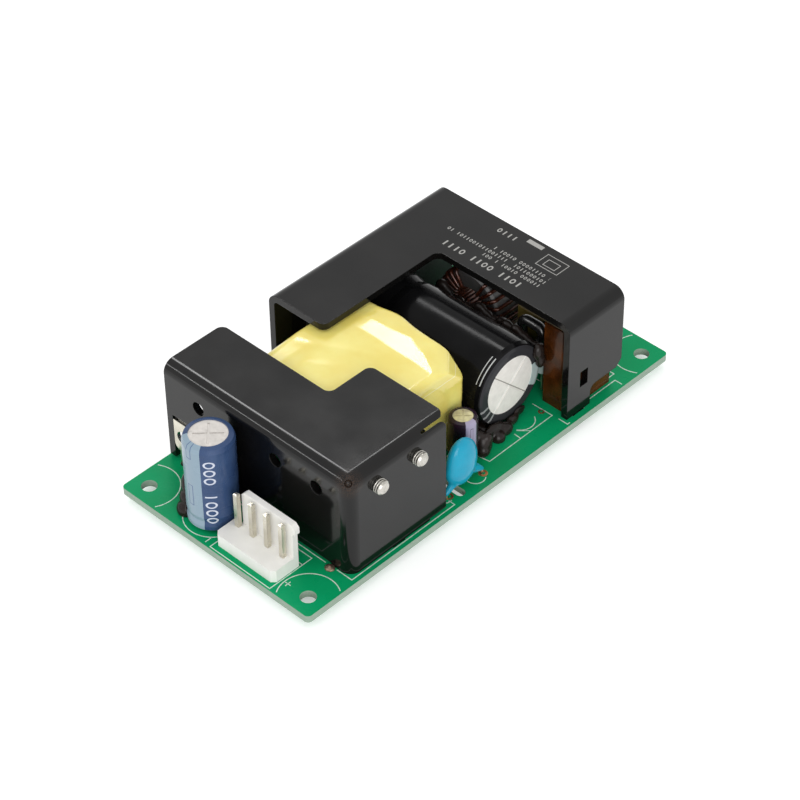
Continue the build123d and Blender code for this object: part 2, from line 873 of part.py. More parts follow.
def standing_capacitor(x, y, diameter, height, pitch, seal_height, turn):
    """Can, sleeve, seal and leads of an upright capacitor."""
    radius = diameter / 2 - sleeve_wall
    length = height - sleeve_wall
    groove = radius * 0.06
    base = board_top + capacitor_lift + sleeve_wall
    spot = Pos(x, y, base) * Rot(0, 0, turn)
    can = spot * capacitor_can(radius, length, groove, seal_height)
    sleeve = spot * capacitor_sleeve(radius, length, groove, radius * 0.78)
    seal = spot * capacitor_seal(radius, groove, seal_height, pitch, capacitor_lead_diameter)
    leads = []
    for side in (-1, 1):
        angle = radians(turn + 90)
        lead_x = x + side * pitch / 2 * cos(angle)
        lead_y = y + side * pitch / 2 * sin(angle)
        leads.append(round_lead(lead_x, lead_y, base + seal_height, capacitor_lead_diameter))
    return can, sleeve, seal, leads


def bulk_capacitor():
    """Large capacitor on its side, closed end to the right, leads bent down on the left."""
    radius = bulk_diameter / 2 - sleeve_wall
    length = bulk_length - 2 * sleeve_wall
    groove = radius * 0.05
    seal_height = bulk_seal_height
    spot = Pos(bulk_left + sleeve_wall, bulk_y, bulk_z) * Rot(0, 90, 0)
    can = spot * capacitor_can(radius, length, groove, seal_height)
    sleeve = spot * capacitor_sleeve(radius, length, groove, bulk_end_diameter / 2)
    seal = spot * capacitor_seal(radius, groove, seal_height, bulk_lead_pitch, bulk_lead_diameter)
    leads = []
    for side in (-1, 1):
        y = bulk_y + side * bulk_lead_pitch / 2
        x = bulk_left - bulk_lead_reach
        start = (bulk_left + sleeve_wall + seal_height, y, bulk_z)
        leads.append(wire([start, (x, y, bulk_z), (x, y, -lead_stub)], bulk_lead_diameter, 1.2))
        drilled.append((x, y, bulk_lead_diameter / 2))
    return can, sleeve, seal, leads


def output_capacitor_x():
    """Output capacitor's place: just clear of the header's left end."""
    header_left = across(output_header_centre) - header_half_length(output_pins)
    return header_left - capacitor_header_gap - output_capacitor_diameter / 2


def header_half_length(positions):
    """Half the length of a header's base."""
    return (positions - 1) * pin_pitch / 2 + header_side_margin


def header_housing(positions, centre, edge, inward):
    """Nylon base with a friction wall on its inner side; inward is +1 or -1 along Y."""
    half = header_half_length(positions)
    front = header_edge_gap
    wall_front = front + header_base_depth
    wall_rear = wall_front + header_wall_thickness
    base = block(-half, half, front, wall_front, 0, header_base_height)
    base = chamfer(base.edges().filter_by(Axis.Z).group_by(Axis.Y)[0], header_chamfer)
    wall_left = -half + header_side_margin + 0.3
    corners = [
        (wall_left, 0),
        (wall_left, header_wall_height - header_chamfer),
        (wall_left + header_chamfer, header_wall_height),
        (half + header_ear - header_chamfer, header_wall_height),
        (half + header_ear, header_wall_height - header_chamfer),
        (half + header_ear, header_wall_height - header_chamfer - header_ear_height),
        (half, header_wall_height - header_chamfer - header_ear_height),
        (half, 0),
    ]
    outline = make_face(Plane.XZ * Polyline(*corners, close=True))
    wall = extrude(outline, amount=header_wall_thickness, dir=(0, 1, 0))
    body = base + Pos(0, wall_front, 0) * wall
    body += block(-half, wall_left + 0.01, wall_front - 0.01, wall_rear - 0.6, 0, header_base_height - 1.2)
    first = -(positions - 1) * pin_pitch / 2
    for step in range(positions):
        hole = pin_size + 0.04
        x = first + step * pin_pitch
        body -= block(x - hole / 2, x + hole / 2, front + header_pin_setback - hole / 2,
                      front + header_pin_setback + hole / 2, -1, header_base_height + 1)
    turn = 0 if inward > 0 else 180
    return Pos(centre, edge, board_top) * Rot(0, 0, turn) * body


def header_pins(positions, filled, centre, edge, inward):
    """Square pins with chamfered tips, through the base and the board."""
    pins = []
    first = -(positions - 1) * pin_pitch / 2
    for step in filled:
        x = centre + inward * (first + step * pin_pitch)
        y = edge + inward * (header_edge_gap + header_pin_setback)
        pin = flat_lead(x, y, board_top + pin_top, pin_size, pin_size)
        pins.append(chamfer(pin.edges().group_by(Axis.Z)[-1], pin_size * 0.25))
    return pins


def small_capacitor_x():
    """Small capacitor's place beside the transformer."""
    return transformer_right + small_capacitor_gap + small_capacitor_diameter / 2


def disc_x():
    """Disc capacitor's place beside the small capacitor."""
    return small_capacitor_x() + disc_offset


def disc_body(x, y, z):
    """Upright coated disc with thin rims."""
    half = disc_diameter / 2
    rim = ThreePointArc((half, 0), (half * 0.78, disc_thickness * 0.34), (0, disc_thickness / 2))
    outline = make_face(rim + Line((0, disc_thickness / 2), (0, 0)) + Line((0, 0), (half, 0)))
    lens = revolve(Plane.XZ * outline, axis=Axis.Z)
    lens += mirror(lens, Plane.XY)
    return Pos(x, y, z) * scale(Rot(0, 90, 0) * lens, (1, 1, disc_height / disc_diameter))


def skirt(start, end, start_radius, end_radius):
    """Coating that tapers down a lead between two points."""
    run = Vector(*end) - Vector(*start)
    cone = Cone(start_radius, end_radius, run.length, align=(Align.CENTER, Align.CENTER, Align.MIN))
    return Plane(origin=start, z_dir=run) * cone


def disc_capacitor():
    """Coated ceramic disc that stands on its edge, with the coating run down its leads."""
    x = disc_x()
    lead_middle = along(disc_setback)
    y = lead_middle - disc_lean
    low = board_top + disc_lift
    body = disc_body(x, y, low + disc_height / 2)
    leads = []
    for side in (-1, 1):
        lead_y = lead_middle + side * disc_lead_pitch / 2
        start = (x, y + side * disc_skirt_inset, low + disc_skirt_rise)
        end = (x, lead_y, low + 0.2)
        body += skirt(start, end, disc_thickness * 0.33, disc_lead_diameter * 0.8)
        leads.append(round_lead(x, lead_y, low + 0.6, disc_lead_diameter))
    for lead in leads:
        body -= lead
    return body, leads


def optocoupler():
    """Four-lead package with chamfered body beside the transformer."""
    x = across(opto_left_inset)
    y = along(opto_setback)
    low = board_top + opto_lift
    body = block(x - opto_length / 2, x + opto_length / 2, y - opto_width / 2, y + opto_width / 2,
                 low, low + opto_height)
    body = chamfer(body.edges().filter_by(Axis.X), 0.35)
    leads = []
    middle = low + opto_height / 2
    for side in (-1, 1):
        for step in (-0.5, 0.5):
            lead_x = x + step * opto_lead_pitch
            lead_y = y + side * opto_row_pitch / 2
            upright = flat_lead(lead_x, lead_y, middle + 0.13, 0.5, 0.26)
            near = y + side * opto_width / 2
            ends = sorted((near, lead_y))
            shoulder = block(lead_x - 0.6, lead_x + 0.6, ends[0], ends[1], middle - 0.13, middle + 0.13)
            leads.append(upright + shoulder)
    return body, leads


def choke_place():
    """Centre of the standing choke core."""
    y = bulk_rear + choke_gap + choke_wrap + choke_thickness / 2
    z = board_top + choke_base_thickness + choke_wrap + choke_outer_diameter / 2
    return across(choke_left_inset), y, z


def choke_core():
    """Ferrite ring that stands on its base, axis along Y."""
    x, y, z = choke_place()
    half = choke_thickness / 2
    ring = bar_y(x, z, y - half, y + half, choke_outer_diameter)
    ring = chamfer(ring.edges().filter_by(GeomType.CIRCLE), 0.5)
    return ring - bar_y(x, z, y - half - 1, y + half + 1, choke_inner_diameter)


def wrapped_turns(side):
    """Turns of wire over one side of a ring that is centred on the origin, as one wrapped form."""
    depth = choke_thickness / 2 + choke_wrap
    outer = choke_outer_diameter / 2 + choke_wrap
    inner = choke_inner_diameter / 2 - choke_wrap
    shell = bar_y(0, 0, -depth, depth, 2 * outer)
    shell = fillet(shell.edges().filter_by(GeomType.CIRCLE), choke_wrap * 0.8)
    shell -= bar_y(0, 0, -depth - 1, depth + 1, 2 * inner)
    core = bar_y(0, 0, -choke_thickness / 2, choke_thickness / 2, choke_outer_diameter)
    core -= bar_y(0, 0, -depth - 2, depth + 2, choke_inner_diameter)
    shell -= core
    reach = 2 * outer
    half_arc = radians(choke_arc / 2)
    corner = (reach * cos(half_arc), reach * sin(half_arc))
    wedge = make_face(Plane.XZ * Polyline((0, 0), corner, (2 * reach, 0),
                                          (reach * cos(half_arc), -reach * sin(half_arc)), close=True))
    wedge = extrude(wedge, amount=reach, both=True)
    shell &= wedge
    if side < 0:
        shell = mirror(shell, Plane.YZ)
    return shell


def choke_winding(side):
    """One winding wrapped over its half of the ring, with its two wire ends through the board."""
    x, y, z = choke_place()
    half_arc = radians(choke_arc / 2)
    drop = choke_outer_diameter / 2 + choke_wrap / 2
    body = Pos(x, y, z) * wrapped_turns(side)
    for face in (-1, 1):
        lead_x = x + side * drop * cos(half_arc)
        lead_y = y + face * (choke_thickness / 2 + choke_wrap * 0.7)
        top = z - drop * sin(half_arc) * 0.8
        body += round_lead(lead_x, lead_y, top, choke_lead_diameter)
    return body


def choke_base(windings):
    """Plate under the choke, with the ring's seat and the wire holes."""
    x, y, z = choke_place()
    half_x = choke_base_width / 2
    half_y = choke_base_depth / 2
    top = board_top + choke_base_thickness + choke_base_rim
    base = rounded_prism(x - half_x, x + half_x, y - half_y, y + half_y, board_top, top, 1.0)
    seat = choke_outer_diameter / 2 + choke_wrap + 0.02
    base -= bar_y(x, z, y - choke_base_depth, y + choke_base_depth, 2 * seat)
    for winding in windings:
        base -= winding
    return base


def line_capacitor():
    """Box capacitor across the input, and its leads."""
    x1 = right_wall_inner - line_capacitor_gap
    x0 = x1 - line_capacitor_width
    y = rear_edge - line_capacitor_rear_margin - line_capacitor_depth / 2
    low = board_top + line_capacitor_lift
    body = block(x0, x1, y - line_capacitor_depth / 2, y + line_capacitor_depth / 2,
                 low, board_top + line_capacitor_height)
    body = fillet(body.edges().filter_by(Axis.Z), 0.8)
    for foot_x in (x0 + 1.2, x1 - 1.2):
        for foot_y in (y - 2.5, y + 2.5):
            body += block(foot_x - 0.6, foot_x + 0.6, foot_y - 0.7, foot_y + 0.7, board_top, low + 0.01)
    middle = (x0 + x1) / 2
    leads = []
    for side in (-1, 1):
        lead_x = middle + side * line_capacitor_pitch / 2
        leads.append(round_lead(lead_x, y, low, line_capacitor_lead_diameter))
    return body, leads


def fuse_place():
    """Centre of the upright fuse, behind the closed end of the bulk capacitor."""
    return bulk_right - fuse_side_inset, bulk_rear + fuse_rear_gap


def fuse_body():
    """Pale tube of the upright fuse."""
    x, y = fuse_place()
    body = post(x, y, board_top + fuse_base, board_top + fuse_top, fuse_diameter)
    return fillet(body.edges().filter_by(GeomType.CIRCLE), 0.4)


def fuse_return_points():
    """Route of the fuse's upper lead, over and down beside it."""
    x, y = fuse_place()
    top = bulk_z + fuse_return_rise
    end_x = x - fuse_return_run
    return [
        (x, y, board_top + fuse_top),
        (x, y, top),
        (end_x, y, top),
        (end_x, y, -lead_stub),
    ]


def fuse_leads():
    """Lower lead straight down, upper lead bent over to its own hole."""
    x, y = fuse_place()
    lower = round_lead(x, y, board_top + fuse_base, fuse_lead_diameter)
    route = fuse_return_points()
    drilled.append((route[-1][0], route[-1][1], fuse_lead_diameter / 2))
    upper = wire(route, fuse_lead_diameter, fuse_bend_radius)
    return [lower, upper]


def fuse_tube(diameter):
    """Tube that follows the fuse's return lead."""
    route = fuse_return_points()
    x, y = fuse_place()
    start = (x, y, board_top + fuse_top + 0.1)
    stop = (route[-1][0], route[-1][1], board_top + fuse_tube_base)
    return wire([start] + route[1:-1] + [stop], diameter, fuse_bend_radius)


def fuse_sleeve(leads):
    """Black shrunk tube over the fuse's upper end and its return lead."""
    outer = fuse_diameter + 2 * fuse_sleeve_wall
    x, y = fuse_place()
    low = board_top + fuse_top - fuse_sleeve_overlap
    high = board_top + fuse_top + 0.4
    cap = post(x, y, low, high, outer)
    cap = fillet(cap.edges().filter_by(GeomType.CIRCLE).group_by(Axis.Z)[-1], 0.8)
    cap -= post(x, y, low - 1, board_top + fuse_top, fuse_diameter)
    body = cap + fuse_tube(fuse_tube_diameter)
    for lead in leads:
        body -= lead
    return body


def insulation_corner():
    """Left front end of the insulation sheet."""
    left = right_wall_inner - insulation_gap - insulation_return
    return left, rear_strip_front + insulation_inset


def insulation_sheet():
    """Thin film folded around the inside of the rear cover's leg."""
    left, front = insulation_corner()
    right = right_wall_inner - insulation_gap
    rear = front + insulation_depth
    outer_path = [(left, front), (right, front), (right, rear)]
    path = FilletPolyline(*outer_path, radius=insulation_corner_radius)
    strip = offset(path, amount=insulation_thickness / 2, side=Side.BOTH)
    return Pos(0, 0, board_top) * extrude(make_face(strip), amount=insulation_height)


def bulk_adhesive():
    """Adhesive run between the bulk capacitor and the board, with a lump at its front end."""
    x1 = bulk_right - 0.5
    x0 = x1 - glue_run_length
    y0 = bulk_y - bulk_diameter / 2 + glue_run_setback
    run = block(x0, x1, y0, bulk_y, board_top, bulk_z - bulk_diameter / 2 + glue_run_rise)
    run = chamfer(run.edges().filter_by(Axis.X).group_by(Axis.Z)[-1], glue_run_chamfer)
    lump_x = bulk_right + 1.9
    lump_y = transformer_rear + 1.6
    lump = Pos(lump_x, lump_y, board_top) * scale(Sphere(glue_diameter / 2), (0.75, 0.75, 1.7))
    drop = scale(Sphere(glue_diameter / 2), (0.75, 1.1, 0.9))
    drop = Pos(bulk_right + 0.8, bulk_y - 3.6, board_top + 0.4) * drop
    body = run + lump + drop
    body &= block(x0 - 1, bulk_right + 8, y0 - 8, bulk_y + 3, board_top, bulk_z)
    return body - bar_x(bulk_y, bulk_z, bulk_left, bulk_right + glue_gap, bulk_diameter + 2 * glue_gap)


def shoulder_adhesive():
    """Adhesive bead along the bulk capacitor's rear shoulder, with a drop over its closed end."""
    y = bulk_rear + glue_bead_overlap
    z = bulk_z + glue_bead_rise
    x1 = bulk_right + glue_drop_diameter / 4
    bead = bar_x(y, z, x1 - glue_bead_length, x1, glue_bead_diameter)
    bead = fillet(bead.edges().filter_by(GeomType.CIRCLE), glue_bead_diameter * 0.4)
    drop = Pos(bulk_right + 0.5, bulk_rear - 0.9, z - 1.6) * Sphere(glue_drop_diameter / 2)
    body = bead + drop
    keep_out = bulk_diameter + 2 * glue_gap
    body -= bar_x(bulk_y, bulk_z, bulk_left, bulk_right + glue_gap, keep_out)
    choke_front = bulk_rear + choke_gap
    body &= block(bulk_left, bulk_right + 8, bulk_y, choke_front - glue_gap, board_top, cover_top)
    x, y = fuse_place()
    body -= post(x, y, board_top, cover_top, fuse_diameter + 2 * (fuse_sleeve_wall + glue_gap))
    body -= fuse_tube(fuse_tube_diameter + 2 * glue_gap)
    x, y = insulation_corner()
    spare = insulation_thickness
    body -= block(x - spare, cover_right, y - spare, rear_edge, board_top, cover_top)
    return max(body.solids(), key=lambda piece: piece.volume)


def output_adhesive():
    """Adhesive run up the left side of the output capacitor."""
    x = output_capacitor_x() - output_capacitor_diameter / 2 + 0.5
    y = along(output_capacitor_setback) - output_capacitor_diameter / 2 + 2.2
    lump = Pos(x, y, board_top + 1.2) * scale(Sphere(glue_diameter / 2), (0.8, 0.8, 1.2))
    upper = Pos(x - 0.1, y + 0.8, board_top + 5.2) * scale(Sphere(glue_diameter / 2), (0.6, 0.6, 1.7))
    body = lump + upper
    body &= block(x - 6, x + 6, y - 6, y + 6, board_top, board_top + 12)
    keep_out = output_capacitor_diameter + 2 * glue_gap
    return body - post(output_capacitor_x(), along(output_capacitor_setback), 0, board_top + 20, keep_out)


def bridge_rectifier():
    """Upright four-lead bridge beside the left wall."""
    x0 = left_wall_inner + bridge_wall_gap
    y = along(bridge_setback)
    low = board_top + bridge_lift
    half = bridge_width / 2
    body = block(x0, x0 + bridge_thickness, y - half, y + half, low, low + bridge_height)
    corner = body.edges().filter_by(Axis.X).group_by(Axis.Z)[-1].sort_by(Axis.Y)[-1]
    body = chamfer(corner, 2.5)
    leads = []
    for step in range(4):
        lead_y = y + (step - 1.5) * bridge_lead_pitch
        leads.append(round_lead(x0 + bridge_thickness / 2, lead_y, low, bridge_lead_diameter))
    return body, leads


def span_block(x, start, end, z0, z1):
    """Piece of a chip's lead between two places along Y, in either order."""
    half = chip_lead_width / 2
    return block(x - half, x + half, min(start, end), max(start, end), z0, z1)


def controller_chip():
    """Eight-lead chip on the underside."""
    x = across(chip_left_inset)
    y = along(chip_setback)
    body = block(x - chip_length / 2, x + chip_length / 2, y - chip_width / 2, y + chip_width / 2,
                 -chip_lift - chip_height, -chip_lift)
    body = chamfer(body.edges().filter_by(Axis.X), 0.25)
    leads = []
    middle = -chip_lift - chip_height / 2
    for side in (-1, 1):
        for step in range(4):
            lead_x = x + (step - 1.5) * chip_lead_pitch
            near = y + side * chip_width / 2
            far = y + side * chip_lead_span / 2
            bend = far - side * 0.7
            thick = 0.2
            shoulder = span_block(lead_x, near, bend, middle - thick / 2, middle + thick / 2)
            down = span_block(lead_x, bend, bend - side * thick, middle, 0)
            foot = span_block(lead_x, bend, far, -thick, 0)
            leads.append(shoulder + down + foot)
    return body, leads


def chip_parts():
    """Small resistors and capacitors on the underside."""
    # Columns and rows, counted from the controller chip.
    places = [(-1, -2), (-1, -1), (-1, 0), (1, -1), (1, 0), (1, 1),
              (-0.5, -8.5), (0, -8.5), (1.25, -14), (1.25, -13), (0.25, 9), (0.75, 9)]
    parts = []
    for column, row in places:
        x = across(chip_left_inset) + column * chip_column_pitch
        y = along(chip_setback) + row * chip_row_pitch
        parts.append(block(x - resistor_length / 2, x + resistor_length / 2, y - resistor_width / 2,
                           y + resistor_width / 2, -resistor_height, 0))
    return parts


def circuit_board():
    """Board with its mounting holes, lead holes, cover slots and isolation slot."""
    outline = RectangleRounded(board_width, board_length, board_corner_radius)
    hole_x = board_width / 2 - mounting_hole_inset
    hole_y = board_length / 2 - mounting_hole_inset
    for x in (-hole_x, hole_x):
        for y in (-hole_y, hole_y):
            outline -= Pos(x, y) * Circle(mounting_hole_diameter / 2)
    for x, y, half in drilled:
        outline -= Pos(x, y) * Circle(half + drill_clearance)
    for x, y, size_x, size_y in slotted:
        outline -= Pos(x, y) * Rectangle(size_x + 2 * foot_clearance, size_y + 2 * foot_clearance)
    slot_x = disc_x() - isolation_slot_offset
    slot = SlotOverall(isolation_slot_length, isolation_slot_width)
    outline -= Pos(slot_x, along(isolation_slot_setback)) * slot
    return extrude(outline, amount=board_thickness)


def solder_joints():
    """Solder cone around every lead under the board."""
    joints = []
    for x, y, half in drilled:
        inner = half + 0.01
        outer = half + drill_clearance + solder_foot
        tip = (inner + 0.1, -solder_height)
        section = Polyline((inner, 0), (outer, 0), tip, (inner, -solder_height), close=True)
        ring = revolve(make_face(Plane.XZ * section), axis=Axis.Z)
        joints.append(Pos(x, y, 0) * ring)
    return joints


def save(name, solids):
    """Writes one sub-part; several solids go in one file as a group."""
    if isinstance(solids, (list, tuple)):
        solids = Compound(children=list(solids))
    export_step(solids, "parts/" + name + ".step")


def save_capacitor(name, pieces):
    """Writes the four sub-parts of a capacitor."""
    for part, solids in zip(("can", "sleeve", "seal", "leads"), pieces):
        save(name + "_" + part, solids)


def build():
    os.makedirs("parts", exist_ok=True)
    save("front_cover", front_cover())
    save("rear_cover", rear_cover())
    save("front_cover_solder_tab", solder_tab())
    save("cover_screws", output_screws() + [transistor_screw()])
    save("cover_washers", output_washers() + [transistor_washer()])

    rectifier_x = right_wall_inner - package_lead_setback
    for number, y in enumerate(rectifier_places(), 1):
        save("output_rectifier_" + str(number) + "_body", place_on_right_wall(rectifier_body(), y))
        leads = package_leads(rectifier_x, y, package_lead_top())
        save("output_rectifier_" + str(number) + "_leadframe", [rectifier_leadframe(y)] + leads)
    save("primary_transistor_body", transistor_body())
    transistor_x = left_wall_inner + package_lead_setback
    leads = package_leads(transistor_x, along(transistor_setback), package_lead_top())
    save("primary_transistor_leads", leads)

    save("transformer_core_bottom", transformer_core_bottom())
    save("transformer_core_top", transformer_core_top())
    save("transformer_bobbin", transformer_bobbin())
    save("transformer_pins", transformer_pins())
    save("transformer_winding", transformer_winding())
    save("transformer_tape", transformer_tape())

    save_capacitor("bulk_capacitor", bulk_capacitor())
    front = (output_capacitor_x(), along(output_capacitor_setback))
    size = (output_capacitor_diameter, output_capacitor_height, output_capacitor_pitch, output_seal_height)
    save_capacitor("output_capacitor", standing_capacitor(*front, *size, 90))
    inner_y = front_wall + sheet_thickness + inner_capacitor_gap + output_capacitor_diameter / 2
    inner = (across(inner_capacitor_left_inset), inner_y)
    save_capacitor("inner_capacitor", standing_capacitor(*inner, *size, 90))
    size = (small_capacitor_diameter, small_capacitor_height, small_capacitor_pitch, small_seal_height)
    small = (small_capacitor_x(), along(small_capacitor_setback))
    save_capacitor("small_capacitor", standing_capacitor(*small, *size, 0))

    body, leads = disc_capacitor()
    save("disc_capacitor_body", body)
    save("disc_capacitor_leads", leads)
    body, leads = optocoupler()
    save("optocoupler_body", body)
    save("optocoupler_leads", leads)
    body, leads = bridge_rectifier()
    save("bridge_rectifier_body", body)
    save("bridge_rectifier_leads", leads)
    body, leads = line_capacitor()
    save("line_capacitor_body", body)
    save("line_capacitor_leads", leads)

    windings = [choke_winding(-1), choke_winding(1)]
    save("choke_core", choke_core())
    save("choke_winding_left", windings[0])
    save("choke_winding_right", windings[1])
    save("choke_base", choke_base(windings))

    leads = fuse_leads()
    save("fuse_body", fuse_body())
    save("fuse_leads", leads)
    save("fuse_sleeve", fuse_sleeve(leads))
    save("insulation_sheet", insulation_sheet())

    output = (output_pins, across(output_header_centre), output_edge, 1)
    save("output_header_housing", header_housing(*output))
    save("output_header_pins", header_pins(output_pins, range(output_pins), *output[1:]))
    save("input_header_housing", header_housing(input_positions, across(input_header_centre), input_edge, -1))
    pins = header_pins(input_positions, (0, 2), across(input_header_centre), input_edge, -1)
    save("input_header_pins", pins)

    save("adhesive", [bulk_adhesive(), shoulder_adhesive(), output_adhesive()])
    body, leads = controller_chip()
    save("controller_chip_body", body)
    save("controller_chip_leads", leads)
    save("chip_parts", chip_parts())
    save("circuit_board", circuit_board())
    save("solder_joints", solder_joints())


build()
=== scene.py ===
import math

import bmesh
import bpy
from bpy.props import FloatProperty, FloatVectorProperty, IntProperty, PointerProperty
from mathutils import Matrix, Vector, noise


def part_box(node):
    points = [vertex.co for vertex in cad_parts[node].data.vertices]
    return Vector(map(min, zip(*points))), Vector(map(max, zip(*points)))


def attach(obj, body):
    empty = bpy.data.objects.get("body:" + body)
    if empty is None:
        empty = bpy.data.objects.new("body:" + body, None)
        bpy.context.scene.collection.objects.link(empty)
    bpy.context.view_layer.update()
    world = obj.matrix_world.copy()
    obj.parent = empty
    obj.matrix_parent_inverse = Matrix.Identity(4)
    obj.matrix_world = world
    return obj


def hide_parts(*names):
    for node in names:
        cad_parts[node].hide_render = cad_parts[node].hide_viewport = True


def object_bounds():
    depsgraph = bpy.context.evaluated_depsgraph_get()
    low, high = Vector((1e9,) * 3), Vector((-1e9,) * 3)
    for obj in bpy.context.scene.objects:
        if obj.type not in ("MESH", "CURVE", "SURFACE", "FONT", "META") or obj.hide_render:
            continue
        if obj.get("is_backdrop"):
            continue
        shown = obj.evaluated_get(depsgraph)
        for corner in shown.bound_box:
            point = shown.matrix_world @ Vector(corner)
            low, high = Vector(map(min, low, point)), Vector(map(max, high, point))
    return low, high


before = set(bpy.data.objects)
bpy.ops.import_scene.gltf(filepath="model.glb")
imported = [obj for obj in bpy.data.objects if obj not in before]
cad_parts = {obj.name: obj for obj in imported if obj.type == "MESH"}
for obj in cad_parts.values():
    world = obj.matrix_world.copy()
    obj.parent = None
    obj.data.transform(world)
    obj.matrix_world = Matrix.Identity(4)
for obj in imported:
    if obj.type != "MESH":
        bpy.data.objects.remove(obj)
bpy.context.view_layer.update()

bl_info = {
    "name": "Open-frame power supply",
    "version": (1, 0, 0),
    "blender": (4, 5, 0),
    "location": "View3D > Sidebar > Supply",
    "description": "Dresses the board, covers and parts of an open-frame power supply",
    "category": "Object",
}

MM = 0.001
BOARD_WIDTH, BOARD_LENGTH = 50.8, 101.6
BOARD_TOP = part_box("circuit_board")[1].z
# Height of one wound layer of the transformer's tape, and how far the lowest one starts below zero, in mm.
LAYER_PITCH, LAYER_START = 5.3, 1.3


def linear(code):
    """sRGB hex to linear red, green, blue and alpha. A colour set in the panel is linear already."""
    if not isinstance(code, str):
        return tuple(code)
    parts = [int(code[i:i + 2], 16) / 255 for i in (1, 3, 5)]
    return tuple([c / 12.92 if c <= 0.04045 else ((c + 0.055) / 1.055) ** 2.4 for c in parts] + [1.0])


def place(left, setback, height=0.0):
    """Point given in mm from the board's left edge, its output end and its top face."""
    return Vector(((left - BOARD_WIDTH / 2) * MM, (setback - BOARD_LENGTH / 2) * MM, BOARD_TOP + height * MM))


def middle_of(name):
    """Middle of a node's box, in mm."""
    low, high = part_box(name)
    return (low + high) / 2 / MM


# Sizes and colours

def panel_colour(name, description, code):
    """A colour in the panel, from its hex code."""
    return FloatVectorProperty(
        name=name, description=description, subtype="COLOR", size=4, default=linear(code))


def panel_length(name, description, size, least=0.0):
    """A length in the panel, with its value and its least value given in mm."""
    return FloatProperty(
        name=name, description=description, default=size * MM, min=least * MM, unit="LENGTH")


class StageSettings(bpy.types.PropertyGroup):
    floor_colour: panel_colour("Floor colour", "Colour of the floor under the supply", "#E8E8E8")
    lens: FloatProperty(
        name="Lens", description="Focal length of the camera", default=125.0, min=1.0, unit="CAMERA")
    lamp_power: FloatProperty(
        name="Lamp power", description="Power of the soft box behind the supply",
        default=3.0, min=0.0, unit="POWER")


class CoverSettings(bpy.types.PropertyGroup):
    coat: panel_colour("Coat colour", "Colour of the coat on the folded covers", "#0B0B0B")
    ink: panel_colour("Ink colour", "Colour of the print on the rear cover", "#A9A8A4")
    edge_break: panel_length("Edge break", "Rounding that the coat gives to the sheet's cut edges", 0.18)


class BoardSettings(bpy.types.PropertyGroup):
    mask: panel_colour("Solder mask", "Colour of the board's lacquer", "#0A9B64")
    core: panel_colour("Laminate", "Colour of the board's cut edge", "#A9B8A8")
    line_width: panel_length("Line width", "Width of the printed white lines", 0.2)


class TransformerSettings(bpy.types.PropertyGroup):
    tape: panel_colour("Tape colour", "Colour of the wrapping tape", "#F3E684")
    crease_depth: panel_length("Crease depth", "Depth of the folds pressed into the tape", 0.16)


class CapacitorSettings(bpy.types.PropertyGroup):
    blue: panel_colour("Blue sleeve", "Colour of the output capacitors' sleeves", "#2D4369")
    stripe: panel_colour("Pale stripe", "Colour of the stripe that marks the negative lead", "#8A9FAE")


class HardwareSettings(bpy.types.PropertyGroup):
    thread_pitch: panel_length("Thread pitch", "Pitch of the screws' threads", 0.5, 0.05)
    choke_turns: IntProperty(
        name="Choke turns", description="Turns of wire on each half of the choke", default=10, min=1)
    wire_diameter: panel_length("Wire diameter", "Diameter of the choke's enamelled wire", 0.8, 0.05)


# Nodes

def add(tree, kind, settings=None):
    """Adds a node. Each setting is a property, the value of an input, or a socket to link to an input; a node
    stands for its first output."""
    node = tree.nodes.new(kind)
    for key, value in (settings or {}).items():
        if isinstance(value, bpy.types.Node):
            value = value.outputs[0]
        if isinstance(value, bpy.types.NodeSocket):
            tree.links.new(value, node.inputs[key])
        elif isinstance(key, str) and hasattr(node, key):
            setattr(node, key, value)
        else:
            node.inputs[key].default_value = value
    return node


def sums(value, *steps):
    """Works a socket's value through a row of sums, each given by its name and then by what else it takes."""
    for i, step in enumerate(steps):
        if isinstance(step, str):
            taken = [value] + [other for other in steps[i + 1:i + 2] if not isinstance(other, str)]
            value = add(value.id_data, "ShaderNodeMath", {"operation": step, **dict(enumerate(taken))})
    return value


def band(value, low, high):
    """1 where a value lies between two limits, else 0."""
    return sums(value, "GREATER_THAN", low, "MULTIPLY", sums(value, "LESS_THAN", high))


def inside(*pairs):
    """1 where each value is less than its limit, else 0."""
    share = 1.0
    for value, limit in pairs:
        share = sums(value, "LESS_THAN", limit, "MULTIPLY", share)
    return share


def outline(*ways):
    """1 on the line of a rectangle. Each way has the distance from its middle, its half size and its line."""
    outer = inside(*[(value, half) for value, half, line in ways])
    return sums(outer, "SUBTRACT", inside(*[(value, half - line) for value, half, line in ways]))


def figure(across, along, is_one, hollow, stem):
    """1 on a nought, or on a one where is_one is 1. Across and along run from 0 in its middle to 1 at its
    edge; hollow is the nought's inside and stem the half width of the one."""
    oval = sums(across, "POWER", 2.0, "ADD", sums(along, "POWER", 2.0))
    nought = band(oval, hollow, 1.0)
    one = inside((across, stem), (along, 1.0))
    return sums(one, "SUBTRACT", nought, "MULTIPLY", is_one, "ADD", nought)


def from_middle(value, pitch):
    """How far a value is from the middle of the repeat it lies in."""
    return sums(value, "DIVIDE", pitch, "FRACT", "MULTIPLY", pitch, "SUBTRACT", pitch / 2, "ABSOLUTE")


def axes_from(spot, middle):
    """How far a place is from a middle along X, Y and Z, in mm."""
    moved = add(spot.id_data, "ShaderNodeVectorMath", {"operation": "SUBTRACT", 0: spot, 1: tuple(middle)})
    return add(spot.id_data, "ShaderNodeSeparateXYZ", {"Vector": moved}).outputs


